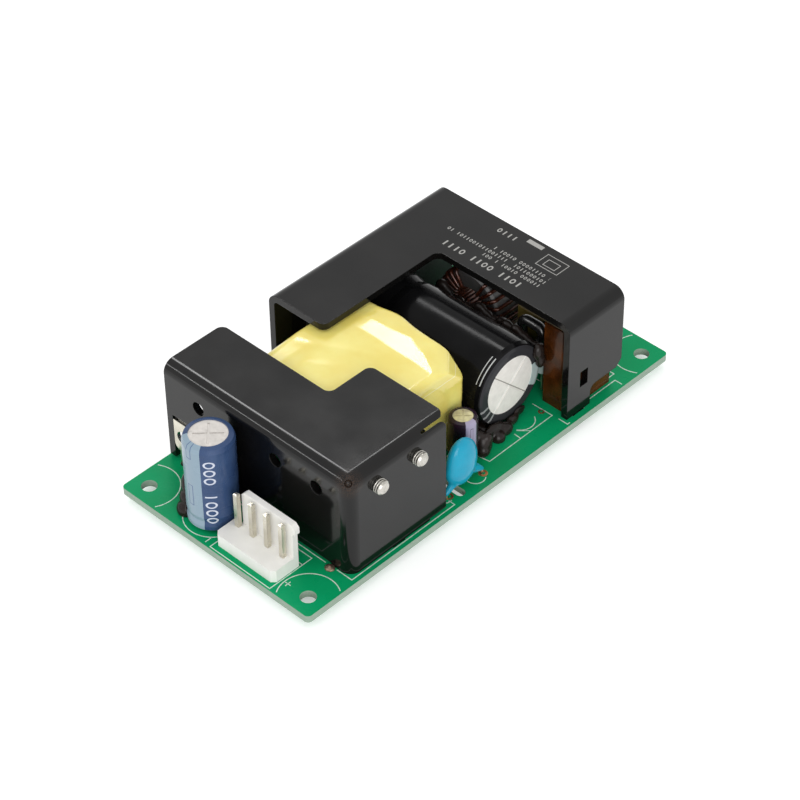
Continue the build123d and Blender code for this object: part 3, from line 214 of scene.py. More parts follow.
def drift(spot, scale, detail, ends, span=(0.0, 1.0)):
    """Noise over a surface, with the part between two ends spread over a span of values."""
    clouds = add(spot.id_data, "ShaderNodeTexNoise", {"Scale": scale, "Detail": detail, "Vector": spot})
    return add(spot.id_data, "ShaderNodeMapRange", {
        "From Min": ends[0], "From Max": ends[1], "To Min": span[0], "To Max": span[1], "Value": clouds})


def new_material(name, settings):
    """Material with one shader; returns it, its shader and the place on the object in mm."""
    made = bpy.data.materials.new(name)
    made.use_nodes = True
    tree = made.node_tree
    tree.nodes.clear()
    shader = add(tree, "ShaderNodeBsdfPrincipled", settings)
    add(tree, "ShaderNodeOutputMaterial", {"Surface": shader})
    metres = add(tree, "ShaderNodeTexCoord").outputs["Object"]
    return made, shader, add(tree, "ShaderNodeVectorMath", {"operation": "SCALE", "Scale": 1 / MM, 0: metres})


def feed(shader, name, value):
    """Links a node to one of the shader's inputs."""
    shader.id_data.links.new(value.outputs[0], shader.inputs[name])


def grain(shader, spot, size, rise, low, high, detail=3.0):
    """Fine unevenness of a surface: bump of a given grain and rise in mm, and roughness from low to high."""
    tree = shader.id_data
    specks = add(tree, "ShaderNodeTexNoise", {"Scale": 1.0 / size, "Detail": detail, "Vector": spot})
    feed(shader, "Normal", add(tree, "ShaderNodeBump", {
        "Strength": 1.0, "Distance": rise * MM, "Height": specks}))
    feed(shader, "Roughness", drift(spot, 0.25 / size, 2.0, (0.3, 0.7), (low, high)))


def paint(shader, colour, mask):
    """Lays a colour over the shader's colour where the mask is 1."""
    target = shader.inputs["Base Color"]
    over = colour if isinstance(colour, bpy.types.NodeSocket) else linear(colour)
    mixed = add(shader.id_data, "ShaderNodeMix", {
        "data_type": "RGBA", "Factor": mask, 6: target.links[0].from_socket, 7: over})
    shader.id_data.links.new(mixed.outputs[2], target)


def tint(shader, spot, first, second, size):
    """Gives the shader a colour that drifts between two shades over a size in mm."""
    share = drift(spot, 1.0 / size, 3.0, (0.35, 0.65))
    mixed = add(shader.id_data, "ShaderNodeMix", {
        "data_type": "RGBA", "Factor": share, 6: linear(first), 7: linear(second)})
    shader.id_data.links.new(mixed.outputs[2], shader.inputs["Base Color"])


# Materials, each named for what the real one is

def plain_finish(name, first, second, settings, size, rise, low, high, spread=3.0, detail=3.0):
    """Finish of one stuff: two near shades that drift over a spread in mm, and a fine grain with its size and
    rise in mm and its roughness from low to high."""
    made, shader, spot = new_material(name, settings)
    tint(shader, spot, first, second, spread)
    grain(shader, spot, size, rise, low, high, detail)
    return made


def black_coat(ink=None):
    """Black electrocoat on aluminium sheet: smooth and glossy, so flat faces mirror softly."""
    sizes = bpy.context.scene.supply_cover
    name = "black_coated_aluminium" + ("_printed" if ink else "")
    made, shader, spot = new_material(name, {"IOR": 1.36})
    tint(shader, spot, sizes.coat, "#100F0E", 9.0)
    tree = made.node_tree
    # Brown speckle where the coat has dulled, within 4 mm of the front cover's right corner.
    corner = add(tree, "ShaderNodeVectorMath", {"operation": "DISTANCE", 0: spot, 1: (23.4, -37.6, 24.0)})
    near = add(tree, "ShaderNodeMapRange", {
        "From Min": 1.2, "From Max": 4.0, "To Min": 0.7, "To Max": 0.0, "Value": corner.outputs["Value"]})
    dust = add(tree, "ShaderNodeTexNoise", {"Scale": 5.5, "Detail": 3.0, "Vector": spot})
    dull = sums(dust, "GREATER_THAN", 0.5, "MULTIPLY", near)
    paint(shader, "#3E2C20", dull)
    # Orange peel of about 0.35 mm across, a few thousandths high.
    specks = add(tree, "ShaderNodeTexNoise", {"Scale": 2.9, "Detail": 2.0, "Vector": spot})
    edge = add(tree, "ShaderNodeBevel", {"samples": 6, "Radius": sizes.edge_break})
    feed(shader, "Normal", add(tree, "ShaderNodeBump", {
        "Strength": 1.0, "Distance": 0.0015 * MM, "Height": specks, "Normal": edge}))
    rough = drift(spot, 0.12, 3.0, (0.3, 0.7), (0.09, 0.14))
    feed(shader, "Roughness", sums(dull, "MULTIPLY", 0.5, "ADD", rough))
    if ink:
        paint(shader, sizes.ink, ink(spot))
    return made


def cover_print(spot):
    """Rows of plain noughts and ones, a block and two nested rectangles on top of the rear cover."""
    left, setback, height = axes_from(spot, (-BOARD_WIDTH / 2, -BOARD_LENGTH / 2, 0.0))
    ink = 0.0
    # Each row: first and last place across, middle and half height, pitch of the figures, their share of it.
    for low, high, middle, half, pitch, share in (
            (13.2, 34.1, 75.5, 0.78, 1.49, 0.72),
            (21.6, 36.8, 77.9, 0.45, 0.84, 0.7),
            (10.9, 36.9, 79.4, 0.45, 0.84, 0.7),
            (21.1, 36.6, 80.9, 0.45, 0.84, 0.7),
            (18.5, 23.8, 85.7, 0.66, 1.32, 0.7)):
        cell = sums(left, "SUBTRACT", low, "DIVIDE", pitch)
        across = sums(cell, "FRACT", "SUBTRACT", 0.5, "ABSOLUTE", "DIVIDE", share / 2)
        along = sums(setback, "SUBTRACT", middle, "ABSOLUTE", "DIVIDE", half)
        number = sums(cell, "FLOOR", "ADD", middle)
        pick = add(spot.id_data, "ShaderNodeTexWhiteNoise", {"noise_dimensions": "1D", "W": number})
        shown = figure(across, along, sums(pick, "GREATER_THAN", 0.55), hollow=0.3, stem=0.34)
        # One figure in ten is a space.
        kept = sums(pick, "GREATER_THAN", 0.1, "MULTIPLY", band(left, low, high))
        ink = sums(shown, "MULTIPLY", kept, "ADD", ink)
    # Nested rectangles and a plain block, each as (across, along, half width, half depth, line).
    for cx, cy, hx, hy, line in ((34.0, 84.6, 2.8, 2.0, 0.16), (34.0, 84.4, 1.55, 1.05, 0.16),
                                 (27.4, 87.1, 2.0, 0.55, 1.0)):
        across = sums(left, "SUBTRACT", cx, "ABSOLUTE")
        along = sums(setback, "SUBTRACT", cy, "ABSOLUTE")
        ink = sums(outline((across, hx, line), (along, hy, line)), "ADD", ink)
    top = sums(height, "GREATER_THAN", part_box("rear_cover")[1].z / MM - 0.05)
    return sums(ink, "MULTIPLY", top, "MULTIPLY", drift(spot, 5.0, 2.0, (0.3, 0.5), (0.75, 1.0)))


def solder_mask():
    """Green lacquer over glass laminate: semi-gloss, paler over copper below, with bare pale cut edges."""
    sizes = bpy.context.scene.supply_board
    made, shader, spot = new_material("green_solder_mask", {"IOR": 1.5, "Specular IOR Level": 0.06})
    tint(shader, spot, sizes.mask, "#08925A", 14.0)
    tree = made.node_tree
    # Copper areas show through the mask on the underside, about 7 mm across with 0.5 mm gaps.
    cells = add(tree, "ShaderNodeTexVoronoi", {
        "feature": "DISTANCE_TO_EDGE", "Scale": 0.14, "Randomness": 0.75, "Vector": spot})
    face = add(tree, "ShaderNodeTexCoord").outputs["Normal"]
    lean = add(tree, "ShaderNodeSeparateXYZ", {"Vector": face}).outputs["Z"]
    below = sums(lean, "LESS_THAN", -0.5)
    copper = sums(cells, "GREATER_THAN", 0.045, "MULTIPLY", below)
    paint(shader, "#3FAE78", copper)
    # Sawn edge: woven glass in pale layers about 0.2 mm thick.
    flat = add(tree, "ShaderNodeMapping", {"Scale": (0.6, 0.6, 5.0), "Vector": spot})
    layers = add(tree, "ShaderNodeTexNoise", {"Scale": 1.0, "Detail": 4.0, "Vector": flat})
    edge = add(tree, "ShaderNodeMix", {
        "data_type": "RGBA", "Factor": layers, 6: linear("#7F9686"), 7: linear(sizes.core)})
    paint(shader, edge.outputs[2], sums(lean, "ABSOLUTE", "LESS_THAN", 0.5))
    grain(shader, spot, 0.6, 0.004, 0.24, 0.36)
    return made


def polyester_tape():
    """Yellow polyester tape in several layers: glossy film, slightly see-through at its overlaps."""
    made, shader, spot = new_material("yellow_polyester_tape", {
        "IOR": 1.48, "Coat Weight": 0.35, "Coat Roughness": 0.03, "Subsurface Weight": 0.12,
        "Subsurface Radius": (0.0012, 0.0009, 0.0003)})
    tint(shader, spot, bpy.context.scene.supply_transformer.tape, "#EDDA6E", 7.0)
    # Edges of the wound layers, pale lines about 0.2 mm wide.
    height = axes_from(spot, (0.0, 0.0, -LAYER_START))["Z"]
    lines = sums(height, "PINGPONG", LAYER_PITCH, "LESS_THAN", 0.1, "MULTIPLY", 0.6)
    paint(shader, "#FFFBD0", lines)
    grain(shader, spot, 3.0, 0.004, 0.1, 0.16, 1.0)
    return made


def sleeve_print(name, base, base2, stripe, post, reach, ink, marks, figures=None):
    """Shrunk PVC sleeve on an upright can: satin, with a pale stripe that carries outlined bars.

    post is the foot of the can's axis in mm, reach the stripe's first and last angle in degrees, marks its
    bars as (angle, half angle, lowest height, pitch, length), and figures a column of plain figures as
    (angle, half angle, low, high)."""
    made, shader, spot = new_material(name, {"IOR": 1.5, "Specular IOR Level": 0.3})
    tint(shader, spot, base, base2, 6.0)
    x, y, height = axes_from(spot, post)
    angle = sums(y, "ARCTAN2", x, "MULTIPLY", math.degrees(1.0))
    paint(shader, stripe, band(angle, *reach))
    where, wide, low, pitch, length = marks
    aside = sums(angle, "SUBTRACT", where, "ABSOLUTE")
    far = from_middle(sums(height, "SUBTRACT", low), pitch)
    bars = outline((far, length / 2, 0.17), (aside, wide, 2.0))
    paint(shader, ink, sums(bars, "MULTIPLY", 0.8))
    if figures:
        # Figures lie on their side: a one, three noughts and a space.
        step, half, word = 2.0, 0.82, 5.0
        where, wide, start, stop = figures
        across = sums(from_middle(height, step), "DIVIDE", half)
        along = sums(angle, "SUBTRACT", where, "ABSOLUTE", "DIVIDE", wide)
        number = sums(height, "DIVIDE", step, "MODULO", word, "FLOOR")
        is_one = sums(number, "GREATER_THAN", word - 1.5)
        shown = figure(across, along, is_one, hollow=0.42, stem=0.17 / half)
        kept = sums(number, "GREATER_THAN", 0.5, "MULTIPLY", band(height, start, stop))
        paint(shader, "#C9CEDC", sums(shown, "MULTIPLY", kept))
    grain(shader, spot, 1.6, 0.004, 0.2, 0.32, 2.0)
    return made


def black_sleeve():
    """Shrunk black PVC sleeve of the bulk capacitor: satin, with a pale stripe, two fine lines of painted
    highlight on its lip, an end ring painted paler as painted light, and bars.
    """
    made, shader, spot = new_material("black_pvc_sleeve", {"IOR": 1.5, "Specular IOR Level": 0.08})
    tint(shader, spot, "#0B0B0C", "#121213", 8.0)
    middle = middle_of("bulk_capacitor_sleeve")
    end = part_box("bulk_capacitor_sleeve")[1].x / MM - middle.x
    x, y, z = axes_from(spot, middle)
    angle = sums(z, "ARCTAN2", y, "MULTIPLY", math.degrees(1.0))
    # The end ring is painted paler than the side, as painted light on the end face.
    ring = sums(x, "GREATER_THAN", end - 0.25)
    paint(shader, "#343437", ring)
    # The pale stripe and, on the other side, two fine pale lines round the end that are painted highlights on
    # the sleeve's rolled lip.
    paint(shader, "#A9B7B6", band(angle, -31.0, 12.0))
    lines = sums(band(x, end - 1.75, end - 1.55), "ADD", band(x, end - 0.95, end - 0.75))
    paint(shader, "#B9BBBA", sums(lines, "MULTIPLY", band(angle, 112.0, 152.0)))
    # Three short bars on the end ring, in place of printing.
    beat = band(sums(angle, "DIVIDE", 14.0, "FRACT"), 0.12, 0.42)
    bars = sums(beat, "MULTIPLY", ring, "MULTIPLY", band(angle, -168.0, -126.0))
    paint(shader, "#9B9C9C", sums(bars, "MULTIPLY", 0.85))
    grain(shader, spot, 2.5, 0.004, 0.1, 0.18, 2.0)
    return made


def can_aluminium(name, first, second, metallic, middle=None):
    """Drawn aluminium can: bright satin metal with a fine grain about 0.1 mm wide. Where the can's middle is
    given, the vent cross is drawn on the end that faces along X, one line lit and one in shade."""
    made, shader, spot = new_material(name, {"Metallic": metallic, "Specular IOR Level": 0.2})
    tint(shader, spot, first, second, 1.6)
    if middle is not None:
        x, y, z = axes_from(spot, middle)
        for sign, colour in (("SUBTRACT", "#FFFDFA"), ("ADD", "#96928C")):
            paint(shader, colour, sums(y, sign, z, "ABSOLUTE", "LESS_THAN", 0.16))
    grain(shader, spot, 0.12, 0.004, 0.42, 0.52)
    return made


# Pieces

def finish_nodes(made, *names):
    """Gives CAD nodes their material."""
    for name in names:
        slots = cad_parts[name].data.materials
        slots.clear()
        slots.append(made)


def mesh_piece(mesh, made, slot, *replaced):
    """Puts a finished mesh in the scene, riding on the supply."""
    piece = bpy.data.objects.new(mesh.name, mesh)
    bpy.context.scene.collection.objects.link(piece)
    mesh.materials.clear()
    mesh.materials.append(made)
    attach(piece, "root")
    if replaced:
        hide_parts(*replaced)


def evaluated(name, host):
    """Plain mesh of an object with its modifiers applied. The object is removed."""
    bpy.context.view_layer.update()
    mesh = bpy.data.meshes.new_from_object(host.evaluated_get(bpy.context.evaluated_depsgraph_get()))
    mesh.name = name
    bpy.data.objects.remove(host)
    return mesh


def new_host(name, mesh):
    """Object that holds a mesh while its modifiers work."""
    host = bpy.data.objects.new(name + "_host", mesh)
    bpy.context.scene.collection.objects.link(host)
    return host


def baked(name, tree, inputs):
    """Plain mesh made by a geometry tree with the given inputs."""
    host = new_host(name, bpy.data.meshes.new(name + "_host"))
    modifier = host.modifiers.new("build", "NODES")
    modifier.node_group = tree
    for item in tree.interface.items_tree:
        if item.item_type == "SOCKET" and item.in_out == "INPUT" and item.name in inputs:
            modifier[item.identifier] = inputs[item.name]
    return evaluated(name, host)


def geometry_tree(name, **inputs):
    """Empty geometry tree with named inputs; returns the tree and what it is given."""
    tree = bpy.data.node_groups.new(name, "GeometryNodeTree")
    tree.interface.new_socket("Geometry", in_out="OUTPUT", socket_type="NodeSocketGeometry")
    for title, kind in inputs.items():
        tree.interface.new_socket(title.replace("_", " "), in_out="INPUT", socket_type="NodeSocket" + kind)
    return tree, tree.nodes.new("NodeGroupInput").outputs


def end_tree(tree, given, shape):
    """Ends a geometry tree with a real mesh in its material."""
    real = add(tree, "GeometryNodeRealizeInstances", {"Geometry": shape})
    coated = add(tree, "GeometryNodeSetMaterial", {"Geometry": real, "Material": given["Material"]})
    add(tree, "NodeGroupOutput", {"Geometry": coated})
    return tree


def skin(rings, closed=False, foot=True):
    """Vertices and faces over rings of as many points each. The last ring joins the first, or both ends are
    capped, the first one only where it has a foot."""
    count = len(rings[0])
    verts = [point for ring in rings for point in ring]
    faces = []
    for r in range(len(rings) if closed else len(rings) - 1):
        here, there = r * count, (r + 1) % len(rings) * count
        pairs = [(i, (i + 1) % count) for i in range(count)]
        faces += [(here + i, here + k, there + k, there + i) for i, k in pairs]
    if not closed:
        faces.append(tuple(range(len(verts) - count, len(verts))))
        if foot:
            faces.append(tuple(range(count)))
    return verts, faces


def joined(name, parts):
    """One mesh from lists of vertices and faces, with its normals pointing out."""
    verts, faces = [], []
    for some_verts, some_faces in parts:
        start = len(verts)
        verts += some_verts
        faces += [tuple(start + i for i in face) for face in some_faces]
    mesh = bpy.data.meshes.new(name)
    mesh.from_pydata([tuple(v) for v in verts], [], faces)
    shape = bmesh.new()
    shape.from_mesh(mesh)
    bmesh.ops.recalc_face_normals(shape, faces=shape.faces)
    shape.to_mesh(mesh)
    shape.free()
    return mesh


def ribbon(points, width, low, high, closed=False):
    """Thin closed slab along a flat line, with mitred corners."""
    count = len(points)
    rings = []
    for i in range(count):
        here = Vector(points[i])
        before = Vector(points[i - 1]) if i or closed else None
        after = Vector(points[(i + 1) % count]) if i < count - 1 or closed else None
        first = (here - before).normalized() if before is not None else (after - here).normalized()
        second = (after - here).normalized() if after is not None else first
        across = Vector((-(first.y + second.y), first.x + second.x)).normalized()
        # A sharp corner's mitre is held to two and a half widths.
        across *= width / 2 / max(0.4, across.dot(Vector((-first.y, first.x))))
        a, b = here + across, here - across
        rings.append([(a.x, a.y, low), (b.x, b.y, low), (b.x, b.y, high), (a.x, a.y, high)])
    return skin(rings, closed)


def arc(cx, cy, radius, start=0.0, stop=360.0, steps=40):
    """Points of an arc in mm, with its angles in degrees."""
    spread = [math.radians(start + (stop - start) * i / steps) for i in range(steps + 1)]
    return [(cx + radius * math.cos(a), cy + radius * math.sin(a)) for a in spread]


def arc_on_board(cx, cy, radius, margin=0.5):
    """The part of a circle round a corner hole that lies on the board."""
    points = [(x, y) for x, y in arc(cx, cy, radius, steps=180)[:-1]
              if margin < x < BOARD_WIDTH - margin and margin < y < BOARD_LENGTH - margin]
    gap = max(range(len(points)), key=lambda i: math.dist(points[i - 1], points[i]))
    return points[gap:] + points[:gap]


def silkscreen():
    """The board's printed lines, as thin slabs of ink on its top face."""
    width = bpy.context.scene.supply_board.line_width
    # Places in mm from the board's left edge and its output end.
    open_lines = [arc_on_board(x, y, 6.0) for x in (3.81, 46.99) for y in (3.81, 97.79)]
    open_lines += [
        [(38.9, 8.9), (40.35, 8.9)],
        [(22.8, 0.7), (22.8, 2.1)],
        [(41.9, 2.9), (41.9, 4.3)],
        [(41.2, 3.6), (42.6, 3.6)],
        [(22.0, 12.3), (43.0, 12.3)],
        [(45.9, 12.35), (49.75, 12.35), (49.75, 40.0), (48.2, 40.0)],
        [(43.2, 52.9), (46.4, 53.4), (46.3, 71.6), (41.2, 71.5)],
        [(44.6, 62.5), (46.2, 62.4)],
        [(44.2, 63.5), (46.3, 65.4)],
        arc(42.6, 66.3, 3.0, -60, 62, 20),
        arc(47.3, 48.4, 2.0, -100, 40, 20),
        [(48.6, 40.4), (48.4, 39.3), (47.4, 38.9)],
        [(47.9, 71.7), (50.2, 71.7), (50.2, 72.4)],
        [(48.4, 80.2), (48.4, 88.0), (50.2, 88.0)],
    ]
    loops = [arc(18.75, 6.7, 5.9, steps=72)[:-1], arc(12.0, 20.2, 5.9, steps=72)[:-1]]
    for left, front, right, rear in ((24.35, 0.45, 40.35, 11.3), (28.5, 77.6, 47.0, 89.3),
                                     (15.3, 90.3, 28.7, 101.1), (9.0, 25.5, 39.4, 55.2)):
        loops.append([(left, front), (right, front), (right, rear), (left, rear)])
    parts = []
    for lines, closed in ((open_lines, False), (loops, True)):
        for points in lines:
            spots = [place(*point).xy for point in points]
            parts.append(ribbon(spots, width, BOARD_TOP, BOARD_TOP + 0.02 * MM, closed))
    return joined("board_marking_lines", parts)


def annulus(cx, cy, inner, outer, low, rise, steps=20):
    """Closed ring with a domed top, centred on a point, for a pad and its solder."""
    crown = (outer * 0.6 + inner * 0.4, low + rise * 0.55)
    profile = [(outer, low), crown, (inner, low + rise), (inner, low)]
    turns = [2 * math.pi * i / steps for i in range(steps)]
    return skin([[(cx + r * math.cos(a), cy + r * math.sin(a), z) for r, z in profile] for a in turns], True)


def pin(cx, cy, low, high, radius, steps=14):
    """Closed round wire end, upright."""
    around = arc(cx, cy, radius, steps=steps)[:-1]
    return skin([[(x, y, z) for x, y in around] for z in (low, high)])


def blob(name, lumps, size, keep_out=()):
    """Closed smooth mesh over lumps, each given by its centre and half sizes in mm. It stays on the board,
    and outside each bar of keep_out, given as (axis, first place, second place, radius, start, end) in mm."""
    shape = bmesh.new()
    for centre, halves in lumps:
        turn = Matrix.Translation(Vector(centre) * MM) @ Matrix.Diagonal((*[h * MM for h in halves], 1.0))
        bmesh.ops.create_icosphere(shape, subdivisions=4, radius=1.0, matrix=turn)
    mesh = bpy.data.meshes.new(name + "_lumps")
    shape.to_mesh(mesh)
    shape.free()
    host = new_host(name, mesh)
    merge = host.modifiers.new("merge", "REMESH")
    merge.mode = "VOXEL"
    merge.voxel_size = size * MM
    smooth = host.modifiers.new("smooth", "SMOOTH")
    smooth.factor, smooth.iterations = 0.5, 8
    made = evaluated(name, host)
    for vert in made.vertices:
        vert.co = clear_of(vert.co / MM, keep_out) * MM
        vert.co.z = max(vert.co.z, BOARD_TOP)
    for face in made.polygons:
        face.use_smooth = True
    return made


def clear_of(point, bars):
    """Point in mm, moved to the skin of any bar that it lies in."""
    for axis, first, second, radius, start, end in bars:
        others = [i for i in range(3) if i != axis]
        across = Vector((point[others[0]] - first, point[others[1]] - second))
        gap = radius - across.length
        if gap <= 0 or not start < point[axis] < end:
            continue
        if end - point[axis] < gap:
            point[axis] = end
        else:
            across = across.normalized() * radius
            point[others[0]], point[others[1]] = first + across.x, second + across.y
    return point


def chain(first, last, first_half, last_half, count):
    """Lumps in a row that shrink from one place to another."""
    lumps = []
    for i in range(count):
        t = i / (count - 1)
        spot = [a + (b - a) * t for a, b in zip(first, last)]
        lumps.append((spot, [first_half + (last_half - first_half) * t] * 3))
    return lumps


def disc_body():
    """Coated disc: an egg-shaped lens with a skirt of coating down each lead."""
    low, high = [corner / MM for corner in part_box("disc_capacitor_leads")]
    x, y = (low.x + high.x) / 2, -6.4
    lumps = [((x, y, 8.3), (2.0, 3.9, 5.6)), ((x, y - 0.2, 7.2), (2.05, 3.9, 4.2))]
    # Each skirt: the lead's place, where the skirt leaves the disc, and its half size there.
    for lead_y, lean, rise, half in ((low.y + 0.3, -2.0, 4.6, 1.0), (high.y - 0.3, 2.3, 5.4, 1.4)):
        lumps += chain((x, y + lean, rise), (x, lead_y, 2.7), half, 0.5, 12)
    return blob("disc_capacitor_coating", lumps, 0.22)


def adhesive_lumps():
    """Set adhesive: a block and lumps by the bulk capacitor's front end, a bead on its rear shoulder, and a
    run up the output capacitor."""
    lumps = [
        ((18.1, 3.9, 3.4), (1.75, 1.9, 2.7)), ((18.6, 4.4, 4.7), (1.15, 1.25, 1.6)),
        ((17.2, 3.4, 3.6), (1.5, 1.7, 3.0)), ((18.5, 3.3, 2.6), (1.6, 1.5, 1.6)),
        ((18.0, 8.4, 2.2), (1.4, 1.5, 1.5)), ((17.6, 10.9, 2.5), (1.2, 1.8, 1.6)),
        ((16.9, 13.4, 2.6), (0.7, 2.0, 1.3)), ((16.5, 16.0, 3.2), (0.35, 1.8, 1.2)),
        ((16.9, 8.0, 3.2), (0.9, 3.2, 1.9)), ((9.7, 9.2, 2.2), (6.4, 2.6, 1.9)),
        ((13.5, 7.5, 2.4), (2.6, 1.6, 1.7)), ((-11.2, -46.9, 2.5), (1.9, 1.9, 2.0)),
        ((-11.3, -46.3, 5.0), (1.5, 1.6, 2.6)), ((-11.2, -46.1, 8.0), (1.1, 1.4, 3.2)),
        ((16.4, 21.2, 15.2), (1.25, 1.4, 1.9)), ((16.8, 21.5, 13.2), (1.0, 1.15, 2.0)),
    ]
    # Tops of the bead above the capacitor's shoulder, as seen in the photograph: place along X and height.
    tops = [
        (-10.8, 16.8), (-9.4, 15.9), (-6.5, 15.0), (-4.0, 14.8), (-2.2, 15.4), (-0.6, 16.6), (1.2, 15.8),
        (3.4, 15.4), (5.4, 16.2), (7.2, 16.9), (9.6, 17.1), (11.4, 16.4), (12.8, 15.9), (15.0, 15.9),
    ]
    for i, (x, top) in enumerate(tops):
        half = 1.25 + 0.2 * math.sin(2.1 * i)
        back = 23.3 if x < 6.0 else 22.7
        lumps.append(((x, back - 0.2, top - half), (1.5, 1.05, half)))
        lumps.append(((x, back - 0.6, top - half - 1.0), (1.6, 0.9, 1.5)))
    # Nothing goes into the bulk capacitor, which lies along X, or into the upright output capacitor.
    low, high = [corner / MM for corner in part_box("bulk_capacitor_sleeve")]
    foot, top = [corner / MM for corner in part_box("output_capacitor_sleeve")]
    axis, post = (low + high) / 2, (foot + top) / 2
    bulk_radius, output_radius = 9.1, 5.05
    return blob("adhesive_lumps", lumps, 0.25, [
        (0, axis.y, axis.z, bulk_radius, low.x, high.x),
        (2, post.x, post.y, output_radius, foot.z, top.z)])


def wrap_outline(half_x, half_y, radius, inset, per_corner, per_side):
    """Rounded rectangle, moved inwards by an inset, with the same number of points for any inset."""
    r = max(radius - inset, 0.0)
    cx, cy = half_x - max(radius, inset), half_y - max(radius, inset)
    bends = [arc(x, y, r, start, start + 90, per_corner)
             for x, y, start in ((cx, -cy, -90), (cx, cy, 0), (-cx, cy, 90), (-cx, -cy, 180))]
    points = []
    for k, bend in enumerate(bends):
        (x, y), (goal_x, goal_y) = bend[-1], bends[(k + 1) % 4][0]
        shares = [i / per_side for i in range(1, per_side)]
        points += bend + [(x + (goal_x - x) * t, y + (goal_y - y) * t) for t in shares]
    return points


def crease_at(point, creases):
    """How deep the folds press the tape at a point, from 0 to 1, as the sharpest of the creases near it."""
    depth = 0.0
    for a, b, reach, strength in creases:
        run = b - a
        t = max(0.0, min(1.0, (point - a).dot(run) / run.length_squared))
        far = (point - a - run * t).length
        press = strength * math.exp(-((far / reach) ** 2)) * math.sin(math.pi * (0.15 + 0.7 * t))
        depth = max(depth, press)
    return depth


def ease(value, start, end):
    """0 before the start, 1 after the end, and a smooth rise between."""
    t = max(0.0, min(1.0, (value - start) / (end - start)))
    return t * t * (3 - 2 * t)


def between(value, points):
    """Height of a line through points at a value; level beyond its ends."""
    if value <= points[0][0]:
        return points[0][1]
    for (a, p), (b, q) in zip(points, points[1:]):
        if value <= b:
            return p + (q - p) * (value - a) / (b - a)
    return points[-1][1]


def shaped(spot, low, high):
    """A point of the wrap in mm, moved for its crown, its bulge and the flats over the core's corner."""
    middle = (low + high) / 2
    # The wrap draws in by up to 2.5 per cent towards its foot.
    squeeze = 1 - 0.025 * (1 - (spot.z - low.z) / (high.z - low.z)) ** 2
    spot = middle + (spot - middle) * Vector((squeeze, squeeze, 1.0))
    # The top tilts up to a ridge near its rear edge, and falls away at its front left.
    slope, front = 0.122, -4.0
    ridge = between(spot.x, ((-16.0, -2.0), (-7.0, -0.4), (2.0, 0.4), (7.0, -1.2), (12.1, -3.8)))
    tilt = slope * (min(max(spot.y, front), ridge) - front)
    soft = slope * 7.0 * ease(spot.y, -6.0, 6.0) - 0.43
    raised = ease(spot.x, -11.0, -7.0)
    rise = (0.85 * max(tilt, 0.0) + 0.15 * max(soft, 0.0)) * raised
    rise -= 0.3 * ease(spot.y, ridge, ridge + 3.0) * raised
    rise -= 0.094 * max(0.0, -12.9 - spot.y) * (1 - ease(spot.x, -11.5, -8.0))
    rise += 0.12 * (1 - ((spot.x - middle.x) / 15.0) ** 2)
    spot.z += ease(spot.z, high.z - 1.8, high.z - 0.1) * rise
    # The rear edge bulges over the core's shoulder.
    swell = math.exp(-((spot.x + 4.5) / 3.6) ** 2) * ease(spot.z, 15.5, 19.5)
    spot.y += 0.9 * swell * ease(spot.y, high.y - 4.0, high.y)
    # Two flats, each given by a point and the way it faces, with an edge softened over 0.25 mm.
    softness = 0.25
    for point, normal in (((8.3, 4.0, 21.7), (0.578, 0.547, 0.606)),
                          ((4.0, 4.0, 23.0), (0.279, 0.268, 0.922))):
        normal = Vector(normal)
        extra = (spot - Vector(point)).dot(normal)
        if extra > 0:
            spot -= normal * (extra - softness * (1 - math.exp(-extra / softness)))
    return spot


